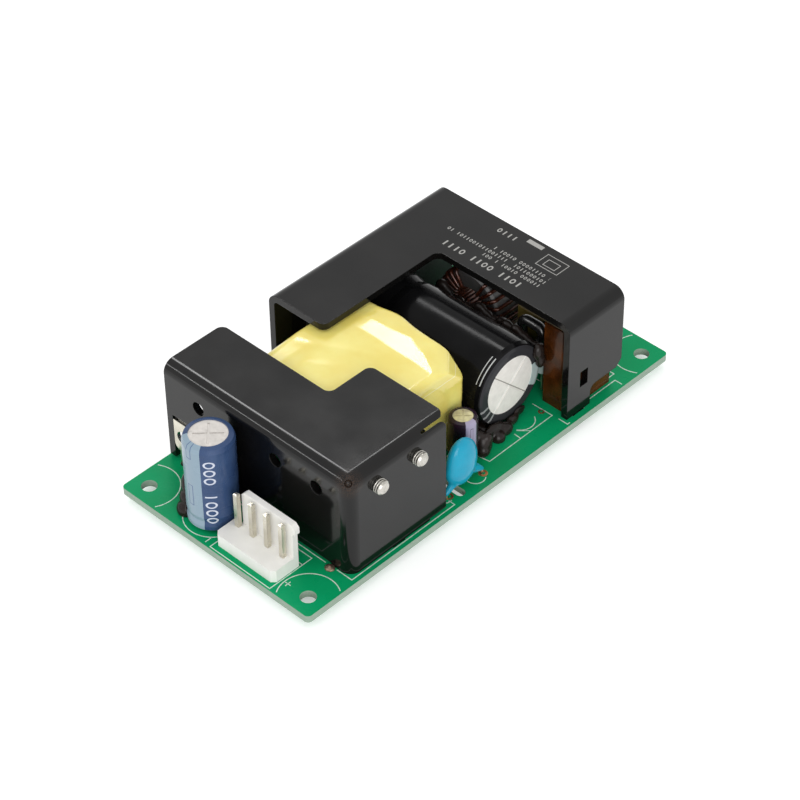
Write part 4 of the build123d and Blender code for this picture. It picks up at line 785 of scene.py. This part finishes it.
def tape_wrap():
    """The transformer's wrap: a domed cap of tape, pulled flat over the core's corner, with pressed folds."""
    settings = bpy.context.scene.supply_transformer
    low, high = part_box("transformer_tape")
    centre, half = (low + high) / 2, (high - low) / 2
    corner, round_over = 1.6 * MM, 1.5 * MM
    # Rows of points up the wall, over the round edge and in across the top, each as (inset, height).
    wall, edge, top = 40, 10, 33
    per_corner, per_side = 14, 44
    rows = [(0.0, low.z + (high.z - round_over - low.z) * i / wall) for i in range(wall + 1)]
    for i in range(1, edge + 1):
        a = math.radians(90 * i / edge)
        rows.append((round_over * (1 - math.cos(a)), high.z - round_over * (1 - math.sin(a))))
    deepest = min(half.x, half.y) - 0.3 * MM
    rows += [(round_over + (deepest - round_over) * i / top, high.z) for i in range(1, top + 1)]
    rings = [[(centre.x + x, centre.y + y, z)
              for x, y in wrap_outline(half.x, half.y, corner, inset, per_corner, per_side)]
             for inset, z in rows]
    # Folds seen on the real wrap, from point to point in mm on the board, with reach and strength.
    folds = [
        ((33.7, 54.6, 20.2), (38.4, 49.4, 20.6), 0.5, 0.5),
        ((38.9, 49.0, 20.0), (38.9, 51.2, 9.0), 0.8, 0.6),
        ((16.0, 31.0, 21.2), (22.5, 35.5, 21.2), 1.2, 0.4),
        ((12.0, 36.0, 21.2), (26.0, 43.0, 21.2), 1.1, 0.3),
        ((38.9, 44.0, 18.5), (38.9, 46.5, 6.0), 1.0, 0.4),
    ]
    creases = [(place(*a), place(*b), reach * MM, strength) for a, b, reach, strength in folds]
    mesh = bpy.data.meshes.new("transformer_wrap")
    verts, faces = skin(rings, foot=False)
    mesh.from_pydata(verts, [], faces)
    shape = bmesh.new()
    shape.from_mesh(mesh)
    bmesh.ops.remove_doubles(shape, verts=shape.verts, dist=0.001 * MM)
    bmesh.ops.recalc_face_normals(shape, faces=shape.faces)
    shape.normal_update()
    # Slack of the tape comes and goes about every 6 mm. Upper layers end in steps a few hundredths high, as
    # far apart as the layers.
    slack_scale, slack_place = 0.16, Vector((3.1, 7.7, 1.9))
    step_depth, step_height, last_step, deepest_press = 0.04, 2.6, 20.0, 0.5
    for vert in shape.verts:
        spot = vert.co / MM
        slack = 0.5 + 0.5 * noise.noise(spot * slack_scale + slack_place)
        step = step_depth * ((spot.z + LAYER_START) % LAYER_PITCH < step_height) * (spot.z < last_step)
        depth = settings.crease_depth * (0.5 * slack + 0.9 * crease_at(vert.co, creases)) + step * MM
        vert.co = shaped(spot - vert.normal * min(depth / MM, deepest_press), low / MM, high / MM) * MM
    for face in shape.faces:
        face.smooth = True
    shape.to_mesh(mesh)
    shape.free()
    return mesh


def thread_tree():
    """Geometry tree: a ridge that winds along X round a screw's end."""
    tree, given = geometry_tree(
        "screw_thread", Start="Vector", Length="Float", Pitch="Float", Radius="Float", Material="Material")
    spiral = add(tree, "GeometryNodeCurveSpiral", {
        "Resolution": 28, "Rotations": sums(given["Length"], "DIVIDE", given["Pitch"]),
        "Start Radius": given["Radius"], "End Radius": given["Radius"], "Height": given["Length"]})
    section = add(tree, "GeometryNodeCurvePrimitiveCircle", {
        "Resolution": 6, "Radius": sums(given["Pitch"], "MULTIPLY", 0.36)})
    ridge = add(tree, "GeometryNodeCurveToMesh", {
        "Fill Caps": True, "Curve": spiral, "Profile Curve": section})
    turned = add(tree, "GeometryNodeTransform", {
        "Rotation": (0.0, math.radians(90), 0.0), "Geometry": ridge, "Translation": given["Start"]})
    return end_tree(tree, given, turned)


def choke_tree():
    """Geometry tree: turns of round wire side by side on one half of a ring whose axis lies along Y."""
    tree, given = geometry_tree(
        "choke_turns", Centre="Vector", Turns="Int", First_Angle="Float", Angle_Step="Float",
        Middle_Radius="Float", Loop_Width="Float", Loop_Depth="Float", Wire_Radius="Float",
        Material="Material")
    loop = add(tree, "GeometryNodeCurvePrimitiveQuadrilateral", {
        "mode": "RECTANGLE", "Width": given["Loop Width"], "Height": given["Loop Depth"]})
    rounded = add(tree, "GeometryNodeFilletCurve", {
        "mode": "POLY", "Count": 4, "Radius": 0.9 * MM, "Curve": loop})
    section = add(tree, "GeometryNodeCurvePrimitiveCircle", {"Resolution": 8, "Radius": given["Wire Radius"]})
    wire = add(tree, "GeometryNodeCurveToMesh", {"Curve": rounded, "Profile Curve": section})
    out = add(tree, "ShaderNodeCombineXYZ", {"X": given["Middle Radius"]})
    shifted = add(tree, "GeometryNodeTransform", {"Geometry": wire, "Translation": out})
    points = add(tree, "GeometryNodePoints", {"Count": given["Turns"], "Position": given["Centre"]})
    index = add(tree, "GeometryNodeInputIndex")
    angle = sums(index, "MULTIPLY", given["Angle Step"], "ADD", given["First Angle"])
    turn = add(tree, "ShaderNodeCombineXYZ", {"Y": angle})
    copies = add(tree, "GeometryNodeInstanceOnPoints", {
        "Points": points, "Instance": shifted, "Rotation": turn})
    return end_tree(tree, given, copies)


# Operators

def seen_rays(tree):
    """1 for light that the camera, a gloss or a clear piece shows, and 0 for light that falls on things."""
    rays = add(tree, "ShaderNodeLightPath").outputs
    return sums(
        rays["Is Camera Ray"], "MAXIMUM", rays["Is Glossy Ray"], "MAXIMUM", rays["Is Transmission Ray"])


def pale_floor(colour):
    """Matt pale floor with a faint glow of its own, so it looks as pale as the room round it."""
    made = bpy.data.materials.new("pale_floor")
    made.use_nodes = True
    tree = made.node_tree
    tree.nodes.clear()
    matt = add(tree, "ShaderNodeBsdfDiffuse", {"Color": linear(colour)})
    glow = add(tree, "ShaderNodeEmission", {"Color": (1, 1, 1, 1), "Strength": 0.42})
    none = add(tree, "ShaderNodeEmission", {"Strength": 0.0})
    shown = add(tree, "ShaderNodeMixShader", {0: seen_rays(tree), 1: none, 2: glow})
    both = add(tree, "ShaderNodeAddShader", {0: matt, 1: shown})
    add(tree, "ShaderNodeOutputMaterial", {"Surface": both})
    return made


def white_room():
    """White surroundings: full white where they are seen, and softer as light."""
    world = bpy.data.worlds.new("white_room")
    world.use_nodes = True
    tree = world.node_tree
    tree.nodes.clear()
    soft, white = [add(tree, "ShaderNodeBackground", {"Color": (1, 1, 1, 1), "Strength": strength})
                   for strength in (0.74, 1.0)]
    shown = add(tree, "ShaderNodeMixShader", {0: seen_rays(tree), 1: soft, 2: white})
    add(tree, "ShaderNodeOutputWorld", {"Surface": shown})
    return world


def camera_at(eye, goal, roll):
    """Place and turn of a camera from its eye and goal in metres, rolled by an angle in degrees."""
    ahead = (goal - eye).normalized()
    right = ahead.cross(Vector((0, 0, 1))).normalized()
    turn = Matrix((right, right.cross(ahead), -ahead)).transposed()
    return Matrix.Translation(eye) @ (turn @ Matrix.Rotation(math.radians(roll), 3, "Z")).to_4x4()


class SUPPLY_OT_stage(bpy.types.Operator):
    """Pale floor, white surroundings, soft lamps and the camera"""
    bl_idname = "supply.stage"
    bl_label = "Stage"

    def execute(self, context):
        settings = context.scene.supply_stage
        # The floor reaches this far each way, in metres.
        low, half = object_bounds()[0].z, 3
        mesh = bpy.data.meshes.new("floor")
        mesh.from_pydata([(-half, -half, low), (half, -half, low), (half, half, low), (-half, half, low)],
                         [], [(0, 1, 2, 3)])
        mesh.materials.append(pale_floor(settings.floor_colour))
        floor = bpy.data.objects.new("floor", mesh)
        context.scene.collection.objects.link(floor)
        floor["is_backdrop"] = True
        context.scene.world = white_room()
        context.scene.view_settings.view_transform = "Standard"

        # Each lamp: place, width and depth in metres, and share of the power.
        for name, spot, (width, depth), share in (
                ("lamp_rear", (-0.797, 0.556, 1.143), (0.6, 0.136), 1.0),
                ("lamp_overhead", (0.1, -0.1, 0.8), (0.5, 0.5), 0.12),
                ("lamp_front", (-0.47, -0.61, 0.48), (0.5, 0.05), 0.3),
                ("lamp_right", (0.75, -0.55, 0.35), (0.6, 0.6), 1.4)):
            lamp = bpy.data.lights.new(name, "AREA")
            lamp.shape = "RECTANGLE"
            lamp.size, lamp.size_y = width, depth
            lamp.energy = settings.lamp_power * share
            holder = bpy.data.objects.new(name, lamp)
            holder.location = spot
            holder.rotation_euler = (-Vector(spot)).to_track_quat("-Z", "Y").to_euler()
            context.scene.collection.objects.link(holder)

        lens = bpy.data.cameras.new("camera")
        lens.lens = settings.lens
        lens.sensor_width = 36.0
        lens.clip_start, lens.clip_end = 0.01, 20.0
        camera = bpy.data.objects.new("camera", lens)
        camera.matrix_world = camera_at(
            Vector((284.05, -289.53, 363.87)) * MM, Vector((-3.95, 3.64, 1.6)) * MM, -0.796)
        context.scene.collection.objects.link(camera)
        context.scene.camera = camera
        return {"FINISHED"}


class SUPPLY_OT_covers(bpy.types.Operator):
    """Coat on the folded covers, and print on the rear one"""
    bl_idname = "supply.covers"
    bl_label = "Covers"

    def execute(self, context):
        finish_nodes(black_coat(), "front_cover")
        finish_nodes(black_coat(cover_print), "rear_cover")
        return {"FINISHED"}


class SUPPLY_OT_board(bpy.types.Operator):
    """Board lacquer, printed lines, pads and solder"""
    bl_idname = "supply.board"
    bl_label = "Board"

    def execute(self, context):
        finish_nodes(solder_mask(), "circuit_board")
        # White marking ink: matt, and screened thin, so it is greener in places.
        mesh_piece(silkscreen(), plain_finish(
            "white_marking_ink", "#DCE6DC", "#B4D2C2", {"IOR": 1.5}, 0.12, 0.004, 0.45, 0.6, 0.8),
            "board_laminate")
        # Bright solder: smooth metal that mirrors, with a slight skin.
        finish_nodes(plain_finish(
            "bright_solder", "#D8D8D6", "#C2C3C3", {"Metallic": 1.0}, 0.3, 0.01, 0.16, 0.28, 1.0),
            "solder_joints")
        # Copper pads under a tinned film, seen round the leads on the top face, each as (place, radii).
        pads = [(47.7, 50.1, 0.45, 0.95), (47.4, 40.9, 0.45, 0.95), (44.0, 71.0, 0.3, 0.7)]
        parts = [annulus(*place(x, y).xy, inner * MM, outer * MM, BOARD_TOP, 0.04 * MM)
                 for x, y, inner, outer in pads]
        mesh_piece(joined("board_top_pads", parts), plain_finish(
            "tinned_copper_pad", "#C58A5E", "#B26A41", {"Metallic": 0.9}, 0.2, 0.005, 0.3, 0.42, 0.6),
            "solder")
        # A dome of solder in front of the front cover, dulled by flux.
        spot = place(44.6, 11.8) / MM
        mound = blob("board_solder_mound", [(spot, (1.1, 1.0, 0.55)), (spot, (0.6, 0.6, 0.75))], 0.12)
        mesh_piece(mound, plain_finish(
            "fluxed_solder", "#9A8574", "#6F5A4C", {"Metallic": 0.8}, 0.3, 0.01, 0.25, 0.4, 0.8), "solder")
        return {"FINISHED"}


class SUPPLY_OT_transformer(bpy.types.Operator):
    """Wrapping tape, core and bobbin of the transformer"""
    bl_idname = "supply.transformer"
    bl_label = "Transformer"

    def execute(self, context):
        mesh_piece(tape_wrap(), polyester_tape(), "yellow_tape", "transformer_tape")
        # Sintered ferrite: matt grey-black ceramic with a fine ground grain.
        finish_nodes(plain_finish(
            "sintered_ferrite", "#2C2A29", "#242322", {"IOR": 2.2}, 0.08, 0.01, 0.5, 0.65),
            "transformer_core_top", "transformer_core_bottom", "choke_core")
        # Phenolic moulding: black, slightly glossy, with dull flow marks.
        finish_nodes(plain_finish(
            "black_phenolic", "#191716", "#221F1D", {"IOR": 1.55}, 0.4, 0.01, 0.32, 0.46),
            "transformer_bobbin", "choke_base")
        return {"FINISHED"}


class SUPPLY_OT_capacitors(bpy.types.Operator):
    """Cans, printed sleeves, seals and coatings of the capacitors"""
    bl_idname = "supply.capacitors"
    bl_label = "Capacitors"

    def execute(self, context):
        settings = context.scene.supply_capacitor
        finish_nodes(can_aluminium("drawn_aluminium_can", "#C8C3BE", "#BAB6B1", 0.35),
                     "output_capacitor_can", "inner_capacitor_can")
        finish_nodes(can_aluminium("chalky_aluminium_can", "#EFEBE5", "#E6E2DC", 0.05,
                                   middle_of("bulk_capacitor_can")), "bulk_capacitor_can")
        finish_nodes(can_aluminium("yellowed_aluminium_can", "#D6D0A4", "#A9A184", 0.2),
                     "small_capacitor_can")
        # Butyl rubber: matt black with a fine grain.
        finish_nodes(plain_finish(
            "butyl_rubber_seal", "#151515", "#1E1E1E", {"IOR": 1.52}, 0.15, 0.01, 0.6, 0.75),
            "bulk_capacitor_seal", "output_capacitor_seal", "inner_capacitor_seal", "small_capacitor_seal")
        finish_nodes(black_sleeve(), "bulk_capacitor_sleeve")
        # Each sleeve's shades and its prints, as sleeve_print takes them.
        blue = (settings.blue, "#3A5076", settings.stripe), (
            (-135.0, -63.0), "#3B4F7E", (-92.0, 7.2, 2.75, 11.5, 5.0), (-44.0, 13.0, 1.2, 18.8))
        dark = ("#1F1220", "#2E1A28", "#A39BB4"), ((-36.0, 14.0), "#2A1830", (-11.0, 6.5, -0.6, 6.0, 3.1))
        for name, (shades, prints) in (("output_capacitor", blue), ("inner_capacitor", blue),
                                       ("small_capacitor", dark)):
            middle = middle_of(name + "_sleeve")
            foot = (middle.x, middle.y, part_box(name + "_sleeve")[0].z / MM)
            finish_nodes(sleeve_print(name + "_pvc_sleeve", *shades, foot, *prints), name + "_sleeve")
        # Dipped epoxy: thick glossy cyan coat with soft runs.
        mesh_piece(disc_body(), plain_finish(
            "blue_dipped_epoxy", "#1FA0C0", "#1B96B6", {"IOR": 1.5, "Specular IOR Level": 0.25},
            1.8, 0.01, 0.1, 0.16, 4.0), "blue_epoxy", "disc_capacitor_body")
        # Moulded polypropylene box: yellow, painted dark yellow as painted shade under the rear cover, satin.
        finish_nodes(plain_finish(
            "yellow_moulded_box_with_painted_shade", "#5E5022", "#54471E", {"IOR": 1.5}, 0.3, 0.01, 0.3, 0.42),
            "line_capacitor_body")
        return {"FINISHED"}


class SUPPLY_OT_power_devices(bpy.types.Operator):
    """Moulded packages, leads, screws and their threads"""
    bl_idname = "supply.power_devices"
    bl_label = "Power devices"

    def execute(self, context):
        settings = context.scene.supply_hardware
        # Epoxy moulding compound: dull black with a spark-eroded grain of about 0.05 mm, drawn at 0.12 mm.
        finish_nodes(plain_finish(
            "epoxy_moulding", "#1B1B1C", "#222223", {"IOR": 1.55}, 0.12, 0.012, 0.5, 0.64),
            "output_rectifier_1_body", "output_rectifier_2_body", "primary_transistor_body",
            "bridge_rectifier_body", "optocoupler_body", "controller_chip_body")
        # Tinned copper: bright, soft metal with faint draw lines.
        finish_nodes(plain_finish(
            "tinned_copper", "#DAD5C6", "#CBC6B8", {"Metallic": 1.0}, 0.3, 0.002, 0.26, 0.34, 2.5),
            "output_rectifier_1_leadframe", "output_rectifier_2_leadframe", "primary_transistor_leads",
            "bridge_rectifier_leads", "transformer_pins", "bulk_capacitor_leads", "output_capacitor_leads",
            "inner_capacitor_leads", "small_capacitor_leads", "disc_capacitor_leads", "optocoupler_leads",
            "line_capacitor_leads", "fuse_leads", "output_header_pins", "input_header_pins",
            "controller_chip_leads", "front_cover_solder_tab")
        # Nickel-plated steel: grey bright metal with a fine turned grain.
        nickel = plain_finish(
            "nickel_plated_steel", "#C9C6BF", "#B1AEA6", {"Metallic": 1.0}, 0.1, 0.006, 0.22, 0.36, 1.0)
        finish_nodes(nickel, "cover_screws", "cover_washers")
        # Each thread starts just outside the cover and ends short of the screw's tip. The screws stand this
        # high above the board.
        screw_height, thread_radius = 18.4 * MM, 1.38 * MM
        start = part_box("front_cover")[1].x + 0.05 * MM
        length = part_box("cover_screws")[1].x - start - 0.35 * MM
        tree = thread_tree()
        for number in ("1", "2"):
            middle = middle_of("output_rectifier_" + number + "_body").y * MM
            mesh = baked("screw_thread_" + number, tree, {
                "Start": (start, middle, BOARD_TOP + screw_height), "Length": length,
                "Pitch": settings.thread_pitch, "Radius": thread_radius, "Material": nickel})
            mesh_piece(mesh, nickel, "screw_steel")
        return {"FINISHED"}


class SUPPLY_OT_choke(bpy.types.Operator):
    """Turns of enamelled wire on both halves of the choke, and the transformer's winding"""
    bl_idname = "supply.choke"
    bl_label = "Choke"

    def execute(self, context):
        settings = context.scene.supply_hardware
        # Enamelled copper wire: dark brown enamel over copper, glossy, darkened further as painted shade
        # inside the rear cover.
        enamel = plain_finish("enamelled_copper_wire_with_painted_shade", "#5A2A16", "#38190E", {
            "Metallic": 0.5, "Coat Weight": 0.5, "Coat Roughness": 0.08}, 0.5, 0.004, 0.24, 0.34, 1.2)
        finish_nodes(enamel, "transformer_winding")
        low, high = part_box("choke_core")
        centre = (low + high) / 2
        outer, inner = (high.x - low.x) / 2, 4.0 * MM
        wire = settings.wire_diameter / 2
        tree = choke_tree()
        # The turns of one half take up this much of the ring, in radians.
        sweep = math.radians(122.0)
        # Wire ends go straight down through the board from the lowest turn on each face.
        end_x, end_y, end_top = 3.42 * MM, 4.34 * MM, BOARD_TOP + 4.0 * MM
        ends = []
        for way, side, name in ((1, 0.0, "choke_winding_right"), (-1, math.pi, "choke_winding_left")):
            mesh = baked(name + "_turns", tree, {
                "Centre": tuple(centre), "Turns": settings.choke_turns, "First Angle": side - sweep / 2,
                "Angle Step": sweep / max(settings.choke_turns - 1, 1), "Middle Radius": (outer + inner) / 2,
                "Loop Width": outer - inner + 2 * wire, "Loop Depth": high.y - low.y + 2 * wire,
                "Wire Radius": wire, "Material": enamel})
            mesh_piece(mesh, enamel, "copper_wire", name)
            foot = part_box(name)[0].z
            ends += [pin(centre.x + way * end_x, centre.y + face * end_y, foot, end_top, wire)
                     for face in (-1, 1)]
        mesh_piece(joined("choke_wire_ends", ends), enamel, "copper_wire")
        return {"FINISHED"}


class SUPPLY_OT_headers(bpy.types.Operator):
    """Nylon housings of both headers"""
    bl_idname = "supply.headers"
    bl_label = "Headers"

    def execute(self, context):
        # Natural nylon: milky white, satin, light passes a little way in.
        finish_nodes(plain_finish("white_nylon", "#F1F0EC", "#E7E6E1", {
            "IOR": 1.53, "Subsurface Weight": 0.25, "Subsurface Radius": (0.0009, 0.0009, 0.0008)},
            0.25, 0.008, 0.38, 0.5, 5.0), "output_header_housing", "input_header_housing")
        return {"FINISHED"}


class SUPPLY_OT_input_parts(bpy.types.Operator):
    """Fuse, its sleeve, the amber film, adhesive and chips"""
    bl_idname = "supply.input_parts"
    bl_label = "Input parts"

    def execute(self, context):
        # Polyimide film: clear amber, darkened to brown as painted shade under the rear cover, in two shades
        # that drift at random.
        finish_nodes(plain_finish("amber_polyimide_film_with_painted_shade", "#6B3812", "#3A1D09", {
            "IOR": 1.5, "Transmission Weight": 0.4, "Specular IOR Level": 0.15},
            3.0, 0.03, 0.14, 0.24, 5.0, 1.0), "insulation_sheet")
        # Glazed ceramic tube: pale blue-grey, glossy.
        finish_nodes(plain_finish(
            "pale_glazed_ceramic", "#C3D0D0", "#B2C1C3", {"IOR": 1.55}, 0.6, 0.01, 0.2, 0.3), "fuse_body")
        # Shrunk polyolefin tube: black, glossy, slightly lumpy over what it covers.
        finish_nodes(plain_finish("black_shrunk_tube", "#0F0F10", "#191919", {
            "IOR": 1.5, "Coat Weight": 0.4, "Coat Roughness": 0.1}, 0.9, 0.06, 0.16, 0.28), "fuse_sleeve")
        # Silicone adhesive set in lumps: brown-black, satin, wavy.
        mesh_piece(adhesive_lumps(), plain_finish("black_silicone_adhesive", "#1A1513", "#28201D", {
            "IOR": 1.42, "Specular IOR Level": 0.3}, 0.9, 0.03, 0.16, 0.3), "black_adhesive", "adhesive")
        # Fired thick film chips: a dark body with pale ends is too small to split, so one grey-brown.
        finish_nodes(plain_finish(
            "chip_ceramic", "#3A352F", "#2B2723", {"IOR": 1.6}, 0.2, 0.01, 0.35, 0.5), "chip_parts")
        return {"FINISHED"}


class SUPPLY_PT_panel(bpy.types.Panel):
    """Buttons for the pieces, with their sizes and colours"""
    bl_label = "Power supply"
    bl_idname = "SUPPLY_PT_panel"
    bl_space_type = "VIEW_3D"
    bl_region_type = "UI"
    bl_category = "Supply"

    def draw(self, context):
        for operator in OPERATORS:
            self.layout.operator(operator.bl_idname)
        for name in SETTINGS:
            settings = getattr(context.scene, name)
            for key in settings.bl_rna.properties.keys():
                if key not in ("rna_type", "name"):
                    self.layout.prop(settings, key)


SETTINGS = {
    "supply_stage": StageSettings,
    "supply_cover": CoverSettings,
    "supply_board": BoardSettings,
    "supply_transformer": TransformerSettings,
    "supply_capacitor": CapacitorSettings,
    "supply_hardware": HardwareSettings,
}
OPERATORS = (
    SUPPLY_OT_stage, SUPPLY_OT_covers, SUPPLY_OT_board, SUPPLY_OT_transformer, SUPPLY_OT_capacitors,
    SUPPLY_OT_power_devices, SUPPLY_OT_choke, SUPPLY_OT_headers, SUPPLY_OT_input_parts,
)
CLASSES = tuple(SETTINGS.values()) + OPERATORS + (SUPPLY_PT_panel,)


def register():
    for cls in CLASSES:
        bpy.utils.register_class(cls)
    for name, cls in SETTINGS.items():
        setattr(bpy.types.Scene, name, PointerProperty(type=cls))


def unregister():
    for name in SETTINGS:
        delattr(bpy.types.Scene, name)
    for cls in reversed(CLASSES):
        bpy.utils.unregister_class(cls)


def main():
    register()
    for operator in OPERATORS:
        group, action = operator.bl_idname.split(".")
        getattr(getattr(bpy.ops, group), action)()


if __name__ == "__main__":
    main()
